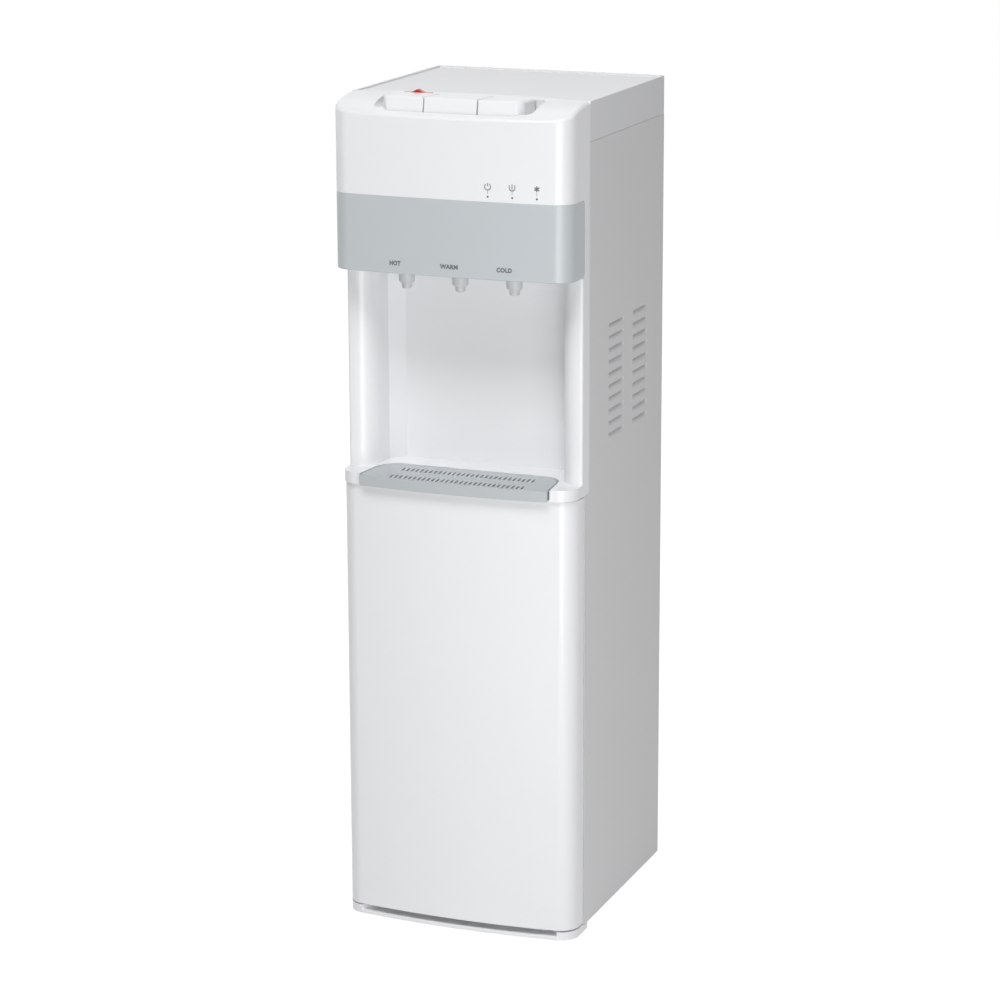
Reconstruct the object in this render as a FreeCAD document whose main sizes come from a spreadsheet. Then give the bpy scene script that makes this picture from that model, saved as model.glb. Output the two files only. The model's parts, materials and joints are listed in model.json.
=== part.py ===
import FreeCAD, Part
import math
import os
import re

import Sketcher

# Free-standing water dispenser that takes its bottle in the lower compartment.
# Row frame: +Z up, the front faces -Y, the viewer's right is +X, millimetres.
# The origin lies on the floor, under the middle of the cabinet.

doc = FreeCAD.newDocument("water_dispenser")
sheet = doc.addObject("Spreadsheet::Sheet", "Sizes")

# Driving dimensions, by group: alias, value, what it measures
DIMENSIONS = {
    "Cabinet": [
        ("cabinet_width", 310, "overall width"),
        ("cabinet_depth", 350, "overall depth, fascia front to cover rear"),
        ("overall_height", 1055, "floor to the top of the child lock"),
        ("steel", 0.8, "sheet thickness of the steel panels"),
        ("wall", 2.5, "wall of the moulded panels"),
        ("gap", 0.3, "assembly gap between neighbouring pieces"),
        ("side_level", 10.4, "floor to the lower edge of the side panels"),
        ("cover_height", 48.5, "top cover, skirt edge to rim"),
        ("cover_overhang", 2.2, "top cover past the side panels at the rear"),
        ("jamb_flange", 10, "front flange of a side panel"),
        ("rear_flange", 16, "rear flange of a side panel"),
        ("back_recess", 23, "depth of the recess that holds the condenser"),
        ("recess_margin", 20, "side of the cabinet to the recess"),
        ("wing_inset", 7, "side of the cabinet to the edge of the back panel"),
        ("screw_first", 60, "floor to the lowest panel screws"),
        ("screw_pitch", 228, "height from one panel screw to the next"),
        ("screw_radius", 1.75, "radius of a panel screw"),
        ("cover_corner", 3.5, "corner radius of the cover at the rear"),
        ("cover_rim", 2.5, "height of the raised rim of the cover"),
        ("cover_rim_width", 3.5, "width of the raised rim of the cover"),
    ],
    "Louvres": [
        ("louvre_length", 53, "length of one louvre"),
        ("louvre_window", 9, "height of one louvre window"),
        ("louvre_dip", 3.3, "how far a louvre leans into the cabinet"),
        ("louvre_slot", 0.8, "drop of the louvre edge under its window"),
        ("louvre_pitch", 15.4, "height from one louvre to the next"),
        ("louvre_rows", 10, "louvres in a column"),
        ("louvre_start", 629, "floor to the top of the lowest window"),
        ("louvre_column", 89, "distance between the two columns"),
        ("louvre_front", 143.5, "cabinet front to the first column"),
    ],
    "Base": [
        ("foot_height", 2, "visible height of a foot"),
        ("foot_radius", 13, "radius of a foot"),
        ("foot_stem", 3.8, "radius of the stem that plugs a foot in"),
        ("foot_inset_x", 40, "cabinet side to the foot centre"),
        ("foot_inset_y", 70, "cabinet front or rear to the foot centre"),
        ("pan_level", 10, "floor to the underside of the pan"),
        ("pan_thickness", 8, "thickness of the pan floor"),
        ("pan_rim", 12, "height of the rim above the pan floor"),
        ("skirt_inset", 9, "cabinet side to the hidden skirt"),
        ("nose_height", 2.5, "nose above the pan level, in front of the jambs"),
        ("lip_height", 5, "height of the front lip under the scoop"),
        ("scoop_half", 143, "half width of the scoop at the front, between the lugs"),
        ("scoop_depth", 30, "depth of the scoop behind the nose"),
        ("scoop_taper", 24, "how much narrower each end of the scoop is at its rear"),
    ],
    "Door": [
        ("door_setback", 11, "fascia front to door front"),
        ("door_depth", 46, "door front to door rear edge"),
        ("door_bow", 1070, "radius of the bowed door front"),
        ("door_corner", 25.6, "corner radius of the door"),
        ("door_level", 14.9, "floor to the door's lower edge"),
        ("door_clearance", 2.5, "door rear edge to the jambs"),
        ("door_gap", 1, "door top to the shelf"),
        ("door_rear_corner", 2, "radius of the door's rear edges"),
        ("hinge_inset", 6, "cabinet side and door rear edge to the hinge axis"),
        ("hinge_pin_radius", 2.5, "radius of a hinge pin"),
        ("hinge_engagement", 11, "length of pin inside the door"),
        ("running_clearance", 0.05, "radial clearance of a running fit"),
        ("liner_depth", 8, "depth of the pressed field of the door's inner panel"),
        ("catch_level", 320, "floor to the magnetic catch"),
    ],
    "Front": [
        ("fascia_bow", 1979, "radius of the bowed fascia"),
        ("fascia_corner", 24.6, "corner radius of the fascia"),
        ("fascia_side", 73.6, "fascia front to the seam on the side"),
        ("shelf_level", 569.5, "floor to the underside of the shelf"),
        ("shelf_height", 14.5, "underside of the shelf to the ledge"),
        ("shelf_setback", 7.6, "fascia front to shelf front"),
        ("alcove_height", 256, "ledge to the tap panel"),
        ("alcove_half", 123, "half width of the alcove"),
        ("alcove_chamfer", 17, "chamfer in the rear corners of the alcove"),
        ("alcove_rear", 120, "fascia front to the alcove's back wall"),
        ("column_setback", 50, "fascia front to the front of the columns"),
        ("column_outer", 3.5, "outer corner radius of a column"),
        ("column_inner", 28, "inner corner radius of a column"),
        ("tap_panel_height", 94.5, "height of the tap panel"),
        ("tap_panel_side", 58, "fascia front to the rear end of the tap panel"),
        ("tap_panel_end", 8, "corner radius at the ends of the tap panel"),
        ("tap_panel_round_radius", 1.2, "radius of the lower edge of the tap panel"),
    ],
    "Tray": [
        ("tray_half", 124, "half width of the drip tray at its front"),
        ("tray_lean", 6, "lean of the sides of the tray in degrees"),
        ("tray_reach", 5, "front of the tray before the shelf"),
        ("tray_rear", 79, "fascia front to the rear edge of the tray"),
        ("tray_corner", 26, "radius of the rear corners of the tray"),
        ("tray_top", 14, "shelf underside to the top of the tray"),
        ("tray_gap", 2.2, "tray to the ends of its pocket"),
        ("tray_wall", 2, "wall of the tray"),
        ("grille_thickness", 2, "thickness of the grille"),
        ("grille_inset", 1.4, "edge of the tray to the grille"),
        ("grille_slot_length", 15.5, "length of a grille slot"),
        ("grille_slot_width", 2.3, "width of a grille slot"),
        ("grille_slot_lean", 6, "lean of the slots in degrees"),
        ("grille_pitch", 6.17, "distance between slots"),
        ("grille_columns", 29, "slots in a row"),
        ("grille_row_gap", 37.5, "distance between the two rows"),
        ("grille_row_rear", 24.5, "tray rear edge to the rear row"),
        ("tray_lip", 3.5, "thickness of the front lip of the tray"),
        ("grille_offset", 3, "middle plane to the middle of the slot rows"),
    ],
    "Controls": [
        ("crown_start", 74.4, "fascia front to the start of the crowned top"),
        ("crown_radius", 162.8, "radius of the crowned control surface"),
        ("front_round", 5, "radius of the rounded edge of the crown"),
        ("tongue_half", 150, "half width of the tongue over the cover"),
        ("tongue_length", 96, "fascia front to the middle of the tongue edge"),
        ("tongue_bow", 560, "radius of the tongue edge"),
        ("tongue_thickness", 2.4, "thickness of the tongue"),
        ("well_half", 103.5, "half length of the well with its scooped ends"),
        ("well_reach", 30.7, "half depth of the well, front to rear"),
        ("scoop_reach", 27, "half depth of the scooped ends, front to rear"),
        ("scoop_drop", 15.5, "cover rim to the floor of the scooped ends"),
        ("scoop_curve", 10.5, "radius of the outer ends of the scoops"),
        ("scoop_corner", 9, "corner radius of the scoops"),
        ("scoop_wall", 2, "wall of the scoops"),
        ("well_centre", 40, "fascia front to the middle of the well"),
        ("button_clearance", 1.3, "buttons to the edges of the well"),
        ("button_half", 91, "half length of the row of buttons"),
        ("button_corner", 16, "radius of the outer corners of the row"),
        ("button_lean", 3, "how far the front faces lean back"),
        ("button_face", 17, "height of the leaning part of the front faces"),
        ("button_seam", 1.4, "gap between two buttons"),
        ("button_split", 69.2, "width of the middle button with its seams"),
        ("button_rise", 4.4, "front edge of the buttons above the cover rim"),
        ("button_skirt", 24, "cover rim to the lower edge of the buttons"),
        ("button_wall", 2.2, "wall of a button"),
        ("button_round", 3.5, "radius of the upper edges of the buttons"),
        ("shaft_offset", 25, "button shaft behind the middle of the well"),
        ("shaft_drop", 20, "cover rim to the button shaft"),
        ("shaft_radius", 1.5, "radius of the button shaft"),
        ("carrier_drop", 32, "cover rim to the underside of the button carrier"),
        ("tap_pitch", 70.5, "distance between taps"),
        ("tap_setback", 41, "fascia front to the taps"),
        ("lamp_level", 940.8, "floor to the indicator lamps"),
        ("lamp_first", 52.1, "middle plane to the first lamp"),
        ("lamp_pitch", 30.8, "distance between lamps"),
        ("lamp_radius", 1.1, "radius of a lamp"),
        ("lock_x", -67.5, "middle plane to the child lock"),
        ("lock_y", -100, "position of the child lock, front to rear"),
        ("lock_slot_half", 25.5, "half length of the lock slot"),
        ("nozzle_collar", 10.3, "radius of a nozzle collar"),
        ("button_fall", 2.7, "fall of the button tops from front to rear"),
        ("rod_radius", 3, "radius of a push rod"),
        ("spring_length", 34, "space for a return spring"),
        ("spring_radius", 4.8, "mean radius of a return spring"),
        ("spring_wire", 0.55, "radius of the spring wire"),
        ("spring_turns", 6, "turns of a return spring"),
        ("lock_half", 18, "half length of the child lock plate"),
        ("lock_rise", 5, "child lock above the cover rim"),
    ],
    "Tanks": [
        ("tank_y", 50, "axis of the tanks, front to rear"),
        ("tank_shelf_level", 762, "floor to the tank shelf"),
        ("deck_level", 575, "floor to the deck over the bottle compartment"),
        ("shelf_sheet", 1.2, "sheet thickness of the inner shelves"),
        ("shelf_flange", 10, "height of the shelf flanges"),
        ("cold_tank_radius", 56, "radius of the cold tank"),
        ("cold_tank_top", 963, "floor to the top of the cold tank"),
        ("cold_foam", 79, "radius of the cold tank jacket"),
        ("hot_tank_radius", 42, "radius of the hot tank"),
        ("hot_tank_top", 923, "floor to the top of the hot tank"),
        ("hot_foam", 55, "radius of the hot tank jacket"),
        ("hose_radius", 6, "outer radius of a water hose"),
        ("hose_bore", 4.6, "bore radius of a water hose"),
        ("heater_rise", 22, "bottom of the hot tank to the heater band"),
        ("heater_height", 45, "height of the heater band"),
        ("heater_thickness", 2.8, "thickness of the heater band"),
    ],
    "Cooling": [
        ("compressor_x", 70.5, "middle plane to the compressor"),
        ("compressor_y", 55, "axis of the compressor, front to rear"),
        ("condenser_top", 625, "floor to the top run of the condenser"),
        ("condenser_tube", 2.5, "radius of the condenser tube"),
        ("capillary_x", 128, "middle plane to the capillary"),
        ("capillary_level", 930, "floor to where the capillary passes the back"),
        ("capillary_radius", 1.25, "radius of the capillary"),
        ("compressor_radius", 68, "radius of the compressor shell"),
        ("compressor_base", 58, "radius of the compressor's lower end"),
        ("compressor_chamfer", 12, "height of the slope at the compressor's lower end"),
        ("compressor_wall", 86, "height of the straight wall of the compressor"),
        ("compressor_shoulder", 26, "height of the slope above the straight wall"),
        ("compressor_neck", 60, "radius of the compressor over the shoulder"),
        ("compressor_dome", 14, "height of the compressor's dome"),
        ("compressor_crown", 40, "radius at the top of the dome"),
        ("compressor_cap", 7, "height of the cone over the dome"),
        ("plate_half_x", 82, "half width of the compressor plate"),
        ("plate_half_y", 56, "half depth of the compressor plate"),
        ("plate_thickness", 3, "thickness of the compressor plate"),
        ("grommet_height", 13, "height of a grommet under the plate"),
        ("grommet_x", 70, "compressor axis to a grommet, across"),
        ("grommet_y", 48, "compressor axis to a grommet, in depth"),
        ("suction_x", 130, "middle plane to the suction pipe"),
        ("evaporator_radius", 59.5, "mean radius of the evaporator coil"),
        ("evaporator_tube", 3.175, "radius of the evaporator tube"),
        ("evaporator_pitch", 10, "pitch of the evaporator coil"),
        ("evaporator_turns", 5, "turns of the evaporator coil"),
        ("condenser_inset", 12, "rear of the cover to the condenser"),
        ("condenser_runs", 12, "runs of the condenser"),
        ("condenser_pitch", 41, "height from run to run"),
        ("condenser_left", -118, "left end of the runs"),
        ("condenser_right", 100, "right end of the runs"),
        ("drier_x", 124.5, "middle plane to the drier"),
        ("drier_level", 500, "floor to the lower end of the drier"),
        ("drier_radius", 8, "radius of the drier"),
        ("drier_length", 120, "length of the drier with its cones"),
        ("drier_inlet_cone", 10, "length of the drier's inlet cone"),
        ("drier_outlet_cone", 10, "length of the drier's outlet cone"),
        ("wire_radius", 0.8, "radius of a condenser wire"),
        ("wire_count", 16, "wires on one face"),
        ("wire_pitch", 10, "distance between wires"),
        ("wire_first", -84, "middle plane to the first wire"),
    ],
    "Rear": [
        ("switch_drop", 90, "cover rim to the rocker switches"),
        ("switch_hot_x", -95, "middle plane to the hot switch"),
        ("switch_cold_x", -65, "middle plane to the cold switch"),
        ("rocker_axle", 1.2, "radius of a rocker's axle"),
        ("rocker_drop", 1.5, "face of the back panel to a rocker's axle"),
        ("gland_x", -100, "middle plane to the cord gland"),
        ("gland_level", 690, "floor to the cord gland"),
        ("gland_bore", 4.1, "radius of the cord gland bore"),
        ("drain_radius", 4, "radius of a drain pipe"),
    ],
    "Water": [
        ("pump_half", 25, "half width of the pump head"),
        ("probe_x", -128, "middle plane to the suction probe"),
        ("probe_y", 124, "position of the suction probe, front to rear"),
        ("probe_level", 500, "floor to the cap of the hanging probe"),
        ("probe_foot", 130, "floor to the foot of the hanging probe"),
    ],
}


def fill_sheet():
    """Write every driving dimension on the sheet with its alias."""
    row = 1
    for group, entries in DIMENSIONS.items():
        sheet.set(f"A{row}", group)
        row += 1
        for alias, number, meaning in entries:
            sheet.set(f"A{row}", alias)
            sheet.set(f"B{row}", str(number))
            sheet.set(f"C{row}", meaning)
            sheet.setAlias(f"B{row}", alias)
            row += 1
    doc.recompute()


ALIASES = {entry[0] for entries in DIMENSIONS.values() for entry in entries}


def bound(text):
    """Expression on the sheet, from text that uses the bare aliases."""
    def qualify(match):
        word = match.group()
        return f"Sizes.{word}" if word in ALIASES else word
    return re.sub(r"[A-Za-z_]+", qualify, str(text))


def value(text):
    """Number that an expression has now."""
    result = sheet.evalExpression(str(text))
    return float(getattr(result, "Value", result))


def bind(item, prop, text):
    """Tie a property of a document object to an expression."""
    item.setExpression(prop, bound(text))


# Positions that several sub-parts share
HALF = "(cabinet_width / 2)"
FRONT = "(-cabinet_depth / 2)"
REAR = "(cabinet_depth / 2)"
SEAM = f"({FRONT} + fascia_side)"
DOOR_FRONT = f"({FRONT} + door_setback)"
DOOR_REAR = f"({DOOR_FRONT} + door_depth)"
JAMB = f"({DOOR_REAR} + door_clearance)"
SHELF_FRONT = f"({FRONT} + shelf_setback)"
ALCOVE_REAR = f"({FRONT} + alcove_rear)"
LEDGE = "(shelf_level + shelf_height)"
PANEL_LEVEL = "(shelf_level + shelf_height + alcove_height)"
PANEL_TOP = f"({PANEL_LEVEL} + tap_panel_height)"
COVER_TOP = "(overall_height - lock_rise)"
COVER_SEAM = f"({COVER_TOP} - cover_height)"
SIDE_REAR = f"({REAR} - cover_overhang)"
BACK_WEB = f"({REAR} - back_recess)"
PAN_TOP = "(pan_level + pan_thickness)"
INNER_HALF = f"({HALF} - steel - gap)"
TAP_Y = f"({FRONT} + tap_setback)"
WELL_Y = f"({FRONT} + well_centre)"
TRAY_TOP = "(shelf_level + tray_top)"
HINGE_X = f"({HALF} - hinge_inset)"
HINGE_Y = f"({DOOR_REAR} - hinge_inset)"


def minus(text):
    """The same expression with its sign turned."""
    return f"-({text})"


def plane(body, role):
    """One of the origin planes or axes of a body."""
    return next(item for item in body.Origin.OriginFeatures if item.Role == role)


def new_body(name):
    """An empty body with its label."""
    body = doc.addObject("PartDesign::Body", name)
    body.Label = name
    return body


def new_sketch(body, name, role="XY_Plane", offset="0"):
    """A sketch on an origin plane of the body, moved along the plane's normal."""
    sketch = body.newObject("Sketcher::SketchObject", name)
    sketch.AttachmentSupport = [(plane(body, role), "")]
    sketch.MapMode = "FlatFace"
    bind(sketch, "AttachmentOffset.Base.z", offset)
    return sketch


def pin(sketch, geometry, point, x, y):
    """Tie one point of a sketch to two expressions."""
    for kind, text in (("DistanceX", x), ("DistanceY", y)):
        index = sketch.addConstraint(Sketcher.Constraint(kind, -1, 1, geometry, point, value(text)))
        bind(sketch, f"Constraints[{index}]", text)


def arc_between(start, end, radius):
    """Counter-clockwise arc edge from start to end on the short side."""
    chord = end.sub(start)
    half = chord.Length / 2
    rise = math.sqrt(max(radius ** 2 - half ** 2, 0))
    normal = FreeCAD.Vector(-chord.y, chord.x, 0).normalize()
    centre = start.add(chord.multiply(0.5)).add(normal.multiply(rise))
    first = math.atan2(start.y - centre.y, start.x - centre.x)
    last = math.atan2(end.y - centre.y, end.x - centre.x)
    circle = Part.Circle(centre, FreeCAD.Vector(0, 0, 1), radius)
    if last < first:
        last += 2 * math.pi
    return Part.ArcOfCircle(circle, first, last)


def add_outline(sketch, corners):
    """Closed outline through corners (x, y) or (x, y, radius, turn).

    The radius belongs to the arc that leaves the corner, and turn is "left" or "right".
    """
    places = [FreeCAD.Vector(value(c[0]), value(c[1]), 0) for c in corners]
    ends = []
    for number, corner in enumerate(corners):
        start = places[number]
        end = places[(number + 1) % len(corners)]
        if len(corner) == 2:
            geometry = sketch.addGeometry(Part.LineSegment(start, end), False)
            ends.append((geometry, 1, 2))
        elif corner[3] == "left":
            geometry = sketch.addGeometry(arc_between(start, end, value(corner[2])), False)
            ends.append((geometry, 1, 2))
        else:
            geometry = sketch.addGeometry(arc_between(end, start, value(corner[2])), False)
            ends.append((geometry, 2, 1))
    for number, (geometry, _, last) in enumerate(ends):
        following, first, _ = ends[(number + 1) % len(ends)]
        sketch.addConstraint(Sketcher.Constraint("Coincident", geometry, last, following, first))
    for (geometry, first, _), corner in zip(ends, corners):
        pin(sketch, geometry, first, corner[0], corner[1])
        if len(corner) > 2:
            index = sketch.addConstraint(Sketcher.Constraint("Radius", geometry, value(corner[2])))
            bind(sketch, f"Constraints[{index}]", corner[2])


def add_rectangle(sketch, x0, x1, y0, y1):
    """Rectangle between two pairs of expressions."""
    add_outline(sketch, [(x0, y0), (x1, y0), (x1, y1), (x0, y1)])


def add_circle(sketch, x, y, radius):
    """Circle about a point given by two expressions."""
    centre = FreeCAD.Vector(value(x), value(y), 0)
    circle = Part.Circle(centre, FreeCAD.Vector(0, 0, 1), value(radius))
    geometry = sketch.addGeometry(circle, False)
    pin(sketch, geometry, 3, x, y)
    index = sketch.addConstraint(Sketcher.Constraint("Radius", geometry, value(radius)))
    bind(sketch, f"Constraints[{index}]", radius)


def bowed(front, bow, corner, rear, half=HALF, rear_corner=None):
    """Plan outline with a bowed front, two tangent corners and straight sides."""
    reach = f"sqrt(({bow} - {corner})^2 - ({half} - {corner})^2)"
    corner_y = f"({front} + {bow} - {reach})"
    joint_x = f"(({half} - {corner}) * {bow} / ({bow} - {corner}))"
    joint_y = f"({front} + {bow} - {reach} * {bow} / ({bow} - {corner}))"
    back = [(half, rear), (minus(half), rear)]
    if rear_corner:
        back = [
            (half, f"{rear} - {rear_corner}", rear_corner, "left"),
            (f"{half} - {rear_corner}", rear),
            (f"{rear_corner} - {half}", rear, rear_corner, "left"),
            (minus(half), f"{rear} - {rear_corner}"),
        ]
    return back + [
        (minus(half), corner_y, corner, "left"),
        (minus(joint_x), joint_y, bow, "left"),
        (joint_x, joint_y, corner, "left"),
        (half, corner_y),
    ]


def rounded_box(half, low, high, radius):
    """Plan outline of a box with four round corners."""
    straight = f"({half} - {radius})"
    return [
        (minus(straight), low),
        (straight, low, radius, "left"),
        (half, f"({low} + {radius})"),
        (half, f"({high} - {radius})", radius, "left"),
        (straight, high),
        (minus(straight), high, radius, "left"),
        (minus(half), f"({high} - {radius})"),
        (minus(half), f"({low} + {radius})", radius, "left"),
    ]


def pad(body, sketch, length, downward=False):
    """Pad a sketch by an expression."""
    feature = body.newObject("PartDesign::Pad", f"{sketch.Name}_pad")
    feature.Profile = sketch
    feature.Reversed = downward
    bind(feature, "Length", length)
    return feature


def pocket(body, sketch, length, upward=False, both=False):
    """Cut a sketch against its normal, along it, or half to each side."""
    feature = body.newObject("PartDesign::Pocket", f"{sketch.Name}_pocket")
    feature.Profile = sketch
    feature.Reversed = upward
    if both:
        feature.SideType = "Symmetric"
    bind(feature, "Length", length)
    return feature


def revolve(body, sketch):
    """Turn a sketch on the XZ plane about the body's Z axis."""
    feature = body.newObject("PartDesign::Revolution", f"{sketch.Name}_turned")
    feature.Profile = sketch
    feature.ReferenceAxis = (plane(body, "Z_Axis"), [""])
    feature.Angle = 360
    return feature


def pattern(body, originals, axis, extent, copies, axis2=None, extent2="0", copies2="1"):
    """Linear pattern along one or two origin axes; it becomes the tip of the body."""
    feature = body.newObject("PartDesign::LinearPattern", f"{originals[0].Name}_row")
    feature.Originals = originals
    feature.Direction = (plane(body, axis), [""])
    bind(feature, "Length", extent)
    bind(feature, "Occurrences", copies)
    if axis2:
        feature.Direction2 = (plane(body, axis2), [""])
        bind(feature, "Length2", extent2)
        bind(feature, "Occurrences2", copies2)
    body.Tip = feature
    return feature


def fillet(body, name, chosen, radius):
    """Round the edges of the body's last feature that a test chooses."""
    doc.recompute()
    base = body.Tip
    edges = [f"Edge{n}" for n, edge in enumerate(base.Shape.Edges, 1) if chosen(edge)]
    feature = body.newObject("PartDesign::Fillet", name)
    feature.Base = (base, edges)
    bind(feature, "Radius", radius)
    return feature


def place(item, x="0", y="0", z="0"):
    """Tie the placement of an object to three expressions."""
    for letter, text in zip("xyz", (x, y, z)):
        bind(item, f"Placement.Base.{letter}", text)


def block(name, x0, x1, y0, y1, z0, z1):
    """Box between three pairs of expressions."""
    item = doc.addObject("Part::Box", name)
    bind(item, "Length", f"{x1} - ({x0})")
    bind(item, "Width", f"{y1} - ({y0})")
    bind(item, "Height", f"{z1} - ({z0})")
    place(item, x0, y0, z0)
    return item


TURNS = {
    "X": FreeCAD.Rotation(FreeCAD.Vector(0, 1, 0), 90),
    "Y": FreeCAD.Rotation(FreeCAD.Vector(1, 0, 0), -90),
    "Z": FreeCAD.Rotation(),
}


def rod(name, x, y, z, radius, length, axis="Z"):
    """Cylinder that starts at a point and runs along +axis."""
    item = doc.addObject("Part::Cylinder", name)
    bind(item, "Radius", radius)
    bind(item, "Height", length)
    item.Placement = FreeCAD.Placement(FreeCAD.Vector(), TURNS[axis])
    place(item, x, y, z)
    return item


def cut(name, base, tool):
    """One object less another."""
    item = doc.addObject("Part::Cut", name)
    item.Base = base
    item.Tool = tool
    item.Label = name
    return item


def fuse(name, pieces):
    """Several objects as one."""
    item = doc.addObject("Part::MultiFuse", name)
    item.Shapes = pieces
    item.Label = name
    return item


def group(name, pieces):
    """Separate solids of one node."""
    item = doc.addObject("Part::Compound", name)
    item.Links = pieces
    item.Label = name
    return item


def side_of_x(sign, text):
    """An x expression on the right (1) or left (-1) of the middle plane."""
    return text if sign > 0 else minus(text)


SCREW_X = f"({HALF} - rear_flange + 4.5)"
SCREW_LEVELS = [f"(screw_first + {n} * screw_pitch)" for n in range(5)]


def screw_holes(body, signs):
    """Clearance holes for the panel screws, through the rear of a body."""
    holes = new_sketch(body, f"{body.Name}_screw_plan", "XZ_Plane", minus(f"{REAR} + 1"))
    for sign in signs:
        for level in SCREW_LEVELS:
            add_circle(holes, side_of_x(sign, SCREW_X), level, "screw_radius + 0.15")
    return pocket(body, holes, "8", upward=True)


# Casing


def base_pan():
    """Moulded base: bowed nose with a scoop, pan floor, rim and hidden skirt."""
    body = new_body("base_pan")
    nose = new_sketch(body, "nose_plan", offset="foot_height")
    add_outline(nose, bowed(DOOR_FRONT, "door_bow", "door_corner", SEAM))
    pad(body, nose, "pan_level - foot_height")
    front = new_sketch(body, "nose_front_plan", offset="pan_level")
    add_outline(front, bowed(DOOR_FRONT, "door_bow", "door_corner", f"({JAMB} - 1)"))
    pad(body, front, "nose_height")
    pan = new_sketch(body, "pan_plan", offset="pan_level")
    throat = f"({HALF} - jamb_flange - 1)"
    rear = f"({SIDE_REAR} - steel - gap)"
    add_outline(pan, [
        (INNER_HALF, f"{JAMB} + steel + gap"),
        (INNER_HALF, rear),
        (minus(INNER_HALF), rear),
        (minus(INNER_HALF), f"{JAMB} + steel + gap"),
        (minus(throat), f"{JAMB} + steel + gap"),
        (minus(throat), f"{JAMB} - 1"),
        (throat, f"{JAMB} - 1"),
        (throat, f"{JAMB} + steel + gap"),
    ])
    pad(body, pan, "pan_thickness")
    skirt = new_sketch(body, "skirt_plan", offset="foot_height")
    edge = f"({HALF} - skirt_inset)"
    add_rectangle(skirt, minus(edge), edge, f"{SEAM} - 2", f"{REAR} - skirt_inset")
    inner = f"({edge} - wall)"
    add_rectangle(skirt, minus(inner), inner, f"{SEAM} - 1", f"{REAR} - skirt_inset - wall")
    pad(body, skirt, "pan_level - foot_height")
    bosses = new_sketch(body, "foot_boss_plan", offset="foot_height")
    for x in (f"{HALF} - foot_inset_x", f"foot_inset_x - {HALF}"):
        for y in (f"{FRONT} + foot_inset_y", f"{REAR} - foot_inset_y"):
            add_circle(bosses, x, y, "foot_radius")
    pad(body, bosses, "pan_level - foot_height")
    rim = new_sketch(body, "rim_plan", offset=PAN_TOP)
    deep = f"({INNER_HALF} - wall)"
    add_outline(rim, [
        (INNER_HALF, SEAM), (INNER_HALF, rear), (minus(INNER_HALF), rear),
        (minus(INNER_HALF), SEAM), (minus(deep), SEAM), (minus(deep), f"{rear} - wall"),
        (deep, f"{rear} - wall"), (deep, SEAM),
    ])
    pad(body, rim, "pan_rim")
    scoop = new_sketch(body, "scoop_plan", offset="pan_level + nose_height")
    narrow = "(scoop_half - scoop_taper)"
    add_outline(scoop, [
        ("-scoop_half", f"{DOOR_FRONT} - 5"), ("scoop_half", f"{DOOR_FRONT} - 5"),
        (narrow, f"{DOOR_FRONT} + scoop_depth"), (minus(narrow), f"{DOOR_FRONT} + scoop_depth"),
    ])
    pocket(body, scoop, "pan_level + nose_height - foot_height - lip_height")
    hollow = new_sketch(body, "scoop_floor_plan", offset="foot_height + lip_height")
    trough = bowed(f"({DOOR_FRONT} + wall + 1)", "(door_bow - wall)", "(scoop_depth / 2)",
                   f"({DOOR_FRONT} + scoop_depth)", half=f"({narrow} - 2)")
    add_outline(hollow, trough)
    pocket(body, hollow, "lip_height - 1.5")
    holes = new_sketch(body, "foot_hole_plan", offset=PAN_TOP)
    for x in (f"{HALF} - foot_inset_x", f"foot_inset_x - {HALF}"):
        for y in (f"{FRONT} + foot_inset_y", f"{REAR} - foot_inset_y"):
            add_circle(holes, x, y, "foot_stem + 0.1")
    pocket(body, holes, "pan_level + pan_thickness")
    pins = new_sketch(body, "hinge_hole_plan", offset="pan_level + nose_height")
    add_circle(pins, HINGE_X, HINGE_Y, "hinge_pin_radius")
    pocket(body, pins, "nose_height + 3")
    return body


def rubber_feet():
    """Four feet, each a disc with a stem that plugs into the pan."""
    feet = []
    spots = [(f"{sx}({HALF} - foot_inset_x)", f"{sy}({REAR} - foot_inset_y)")
             for sx in "+-" for sy in "+-"]
    for number, (x, y) in enumerate(spots):
        x, y = x.lstrip("+"), y.lstrip("+")
        disc = rod(f"foot_disc_{number}", x, y, "0", "foot_radius", "foot_height")
        stem = rod(f"foot_stem_{number}", x, y, "foot_height / 2", "foot_stem",
                   f"{PAN_TOP} - foot_height")
        feet.append(fuse(f"foot_{number}", [disc, stem]))
    return group("rubber_feet", feet)


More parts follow.
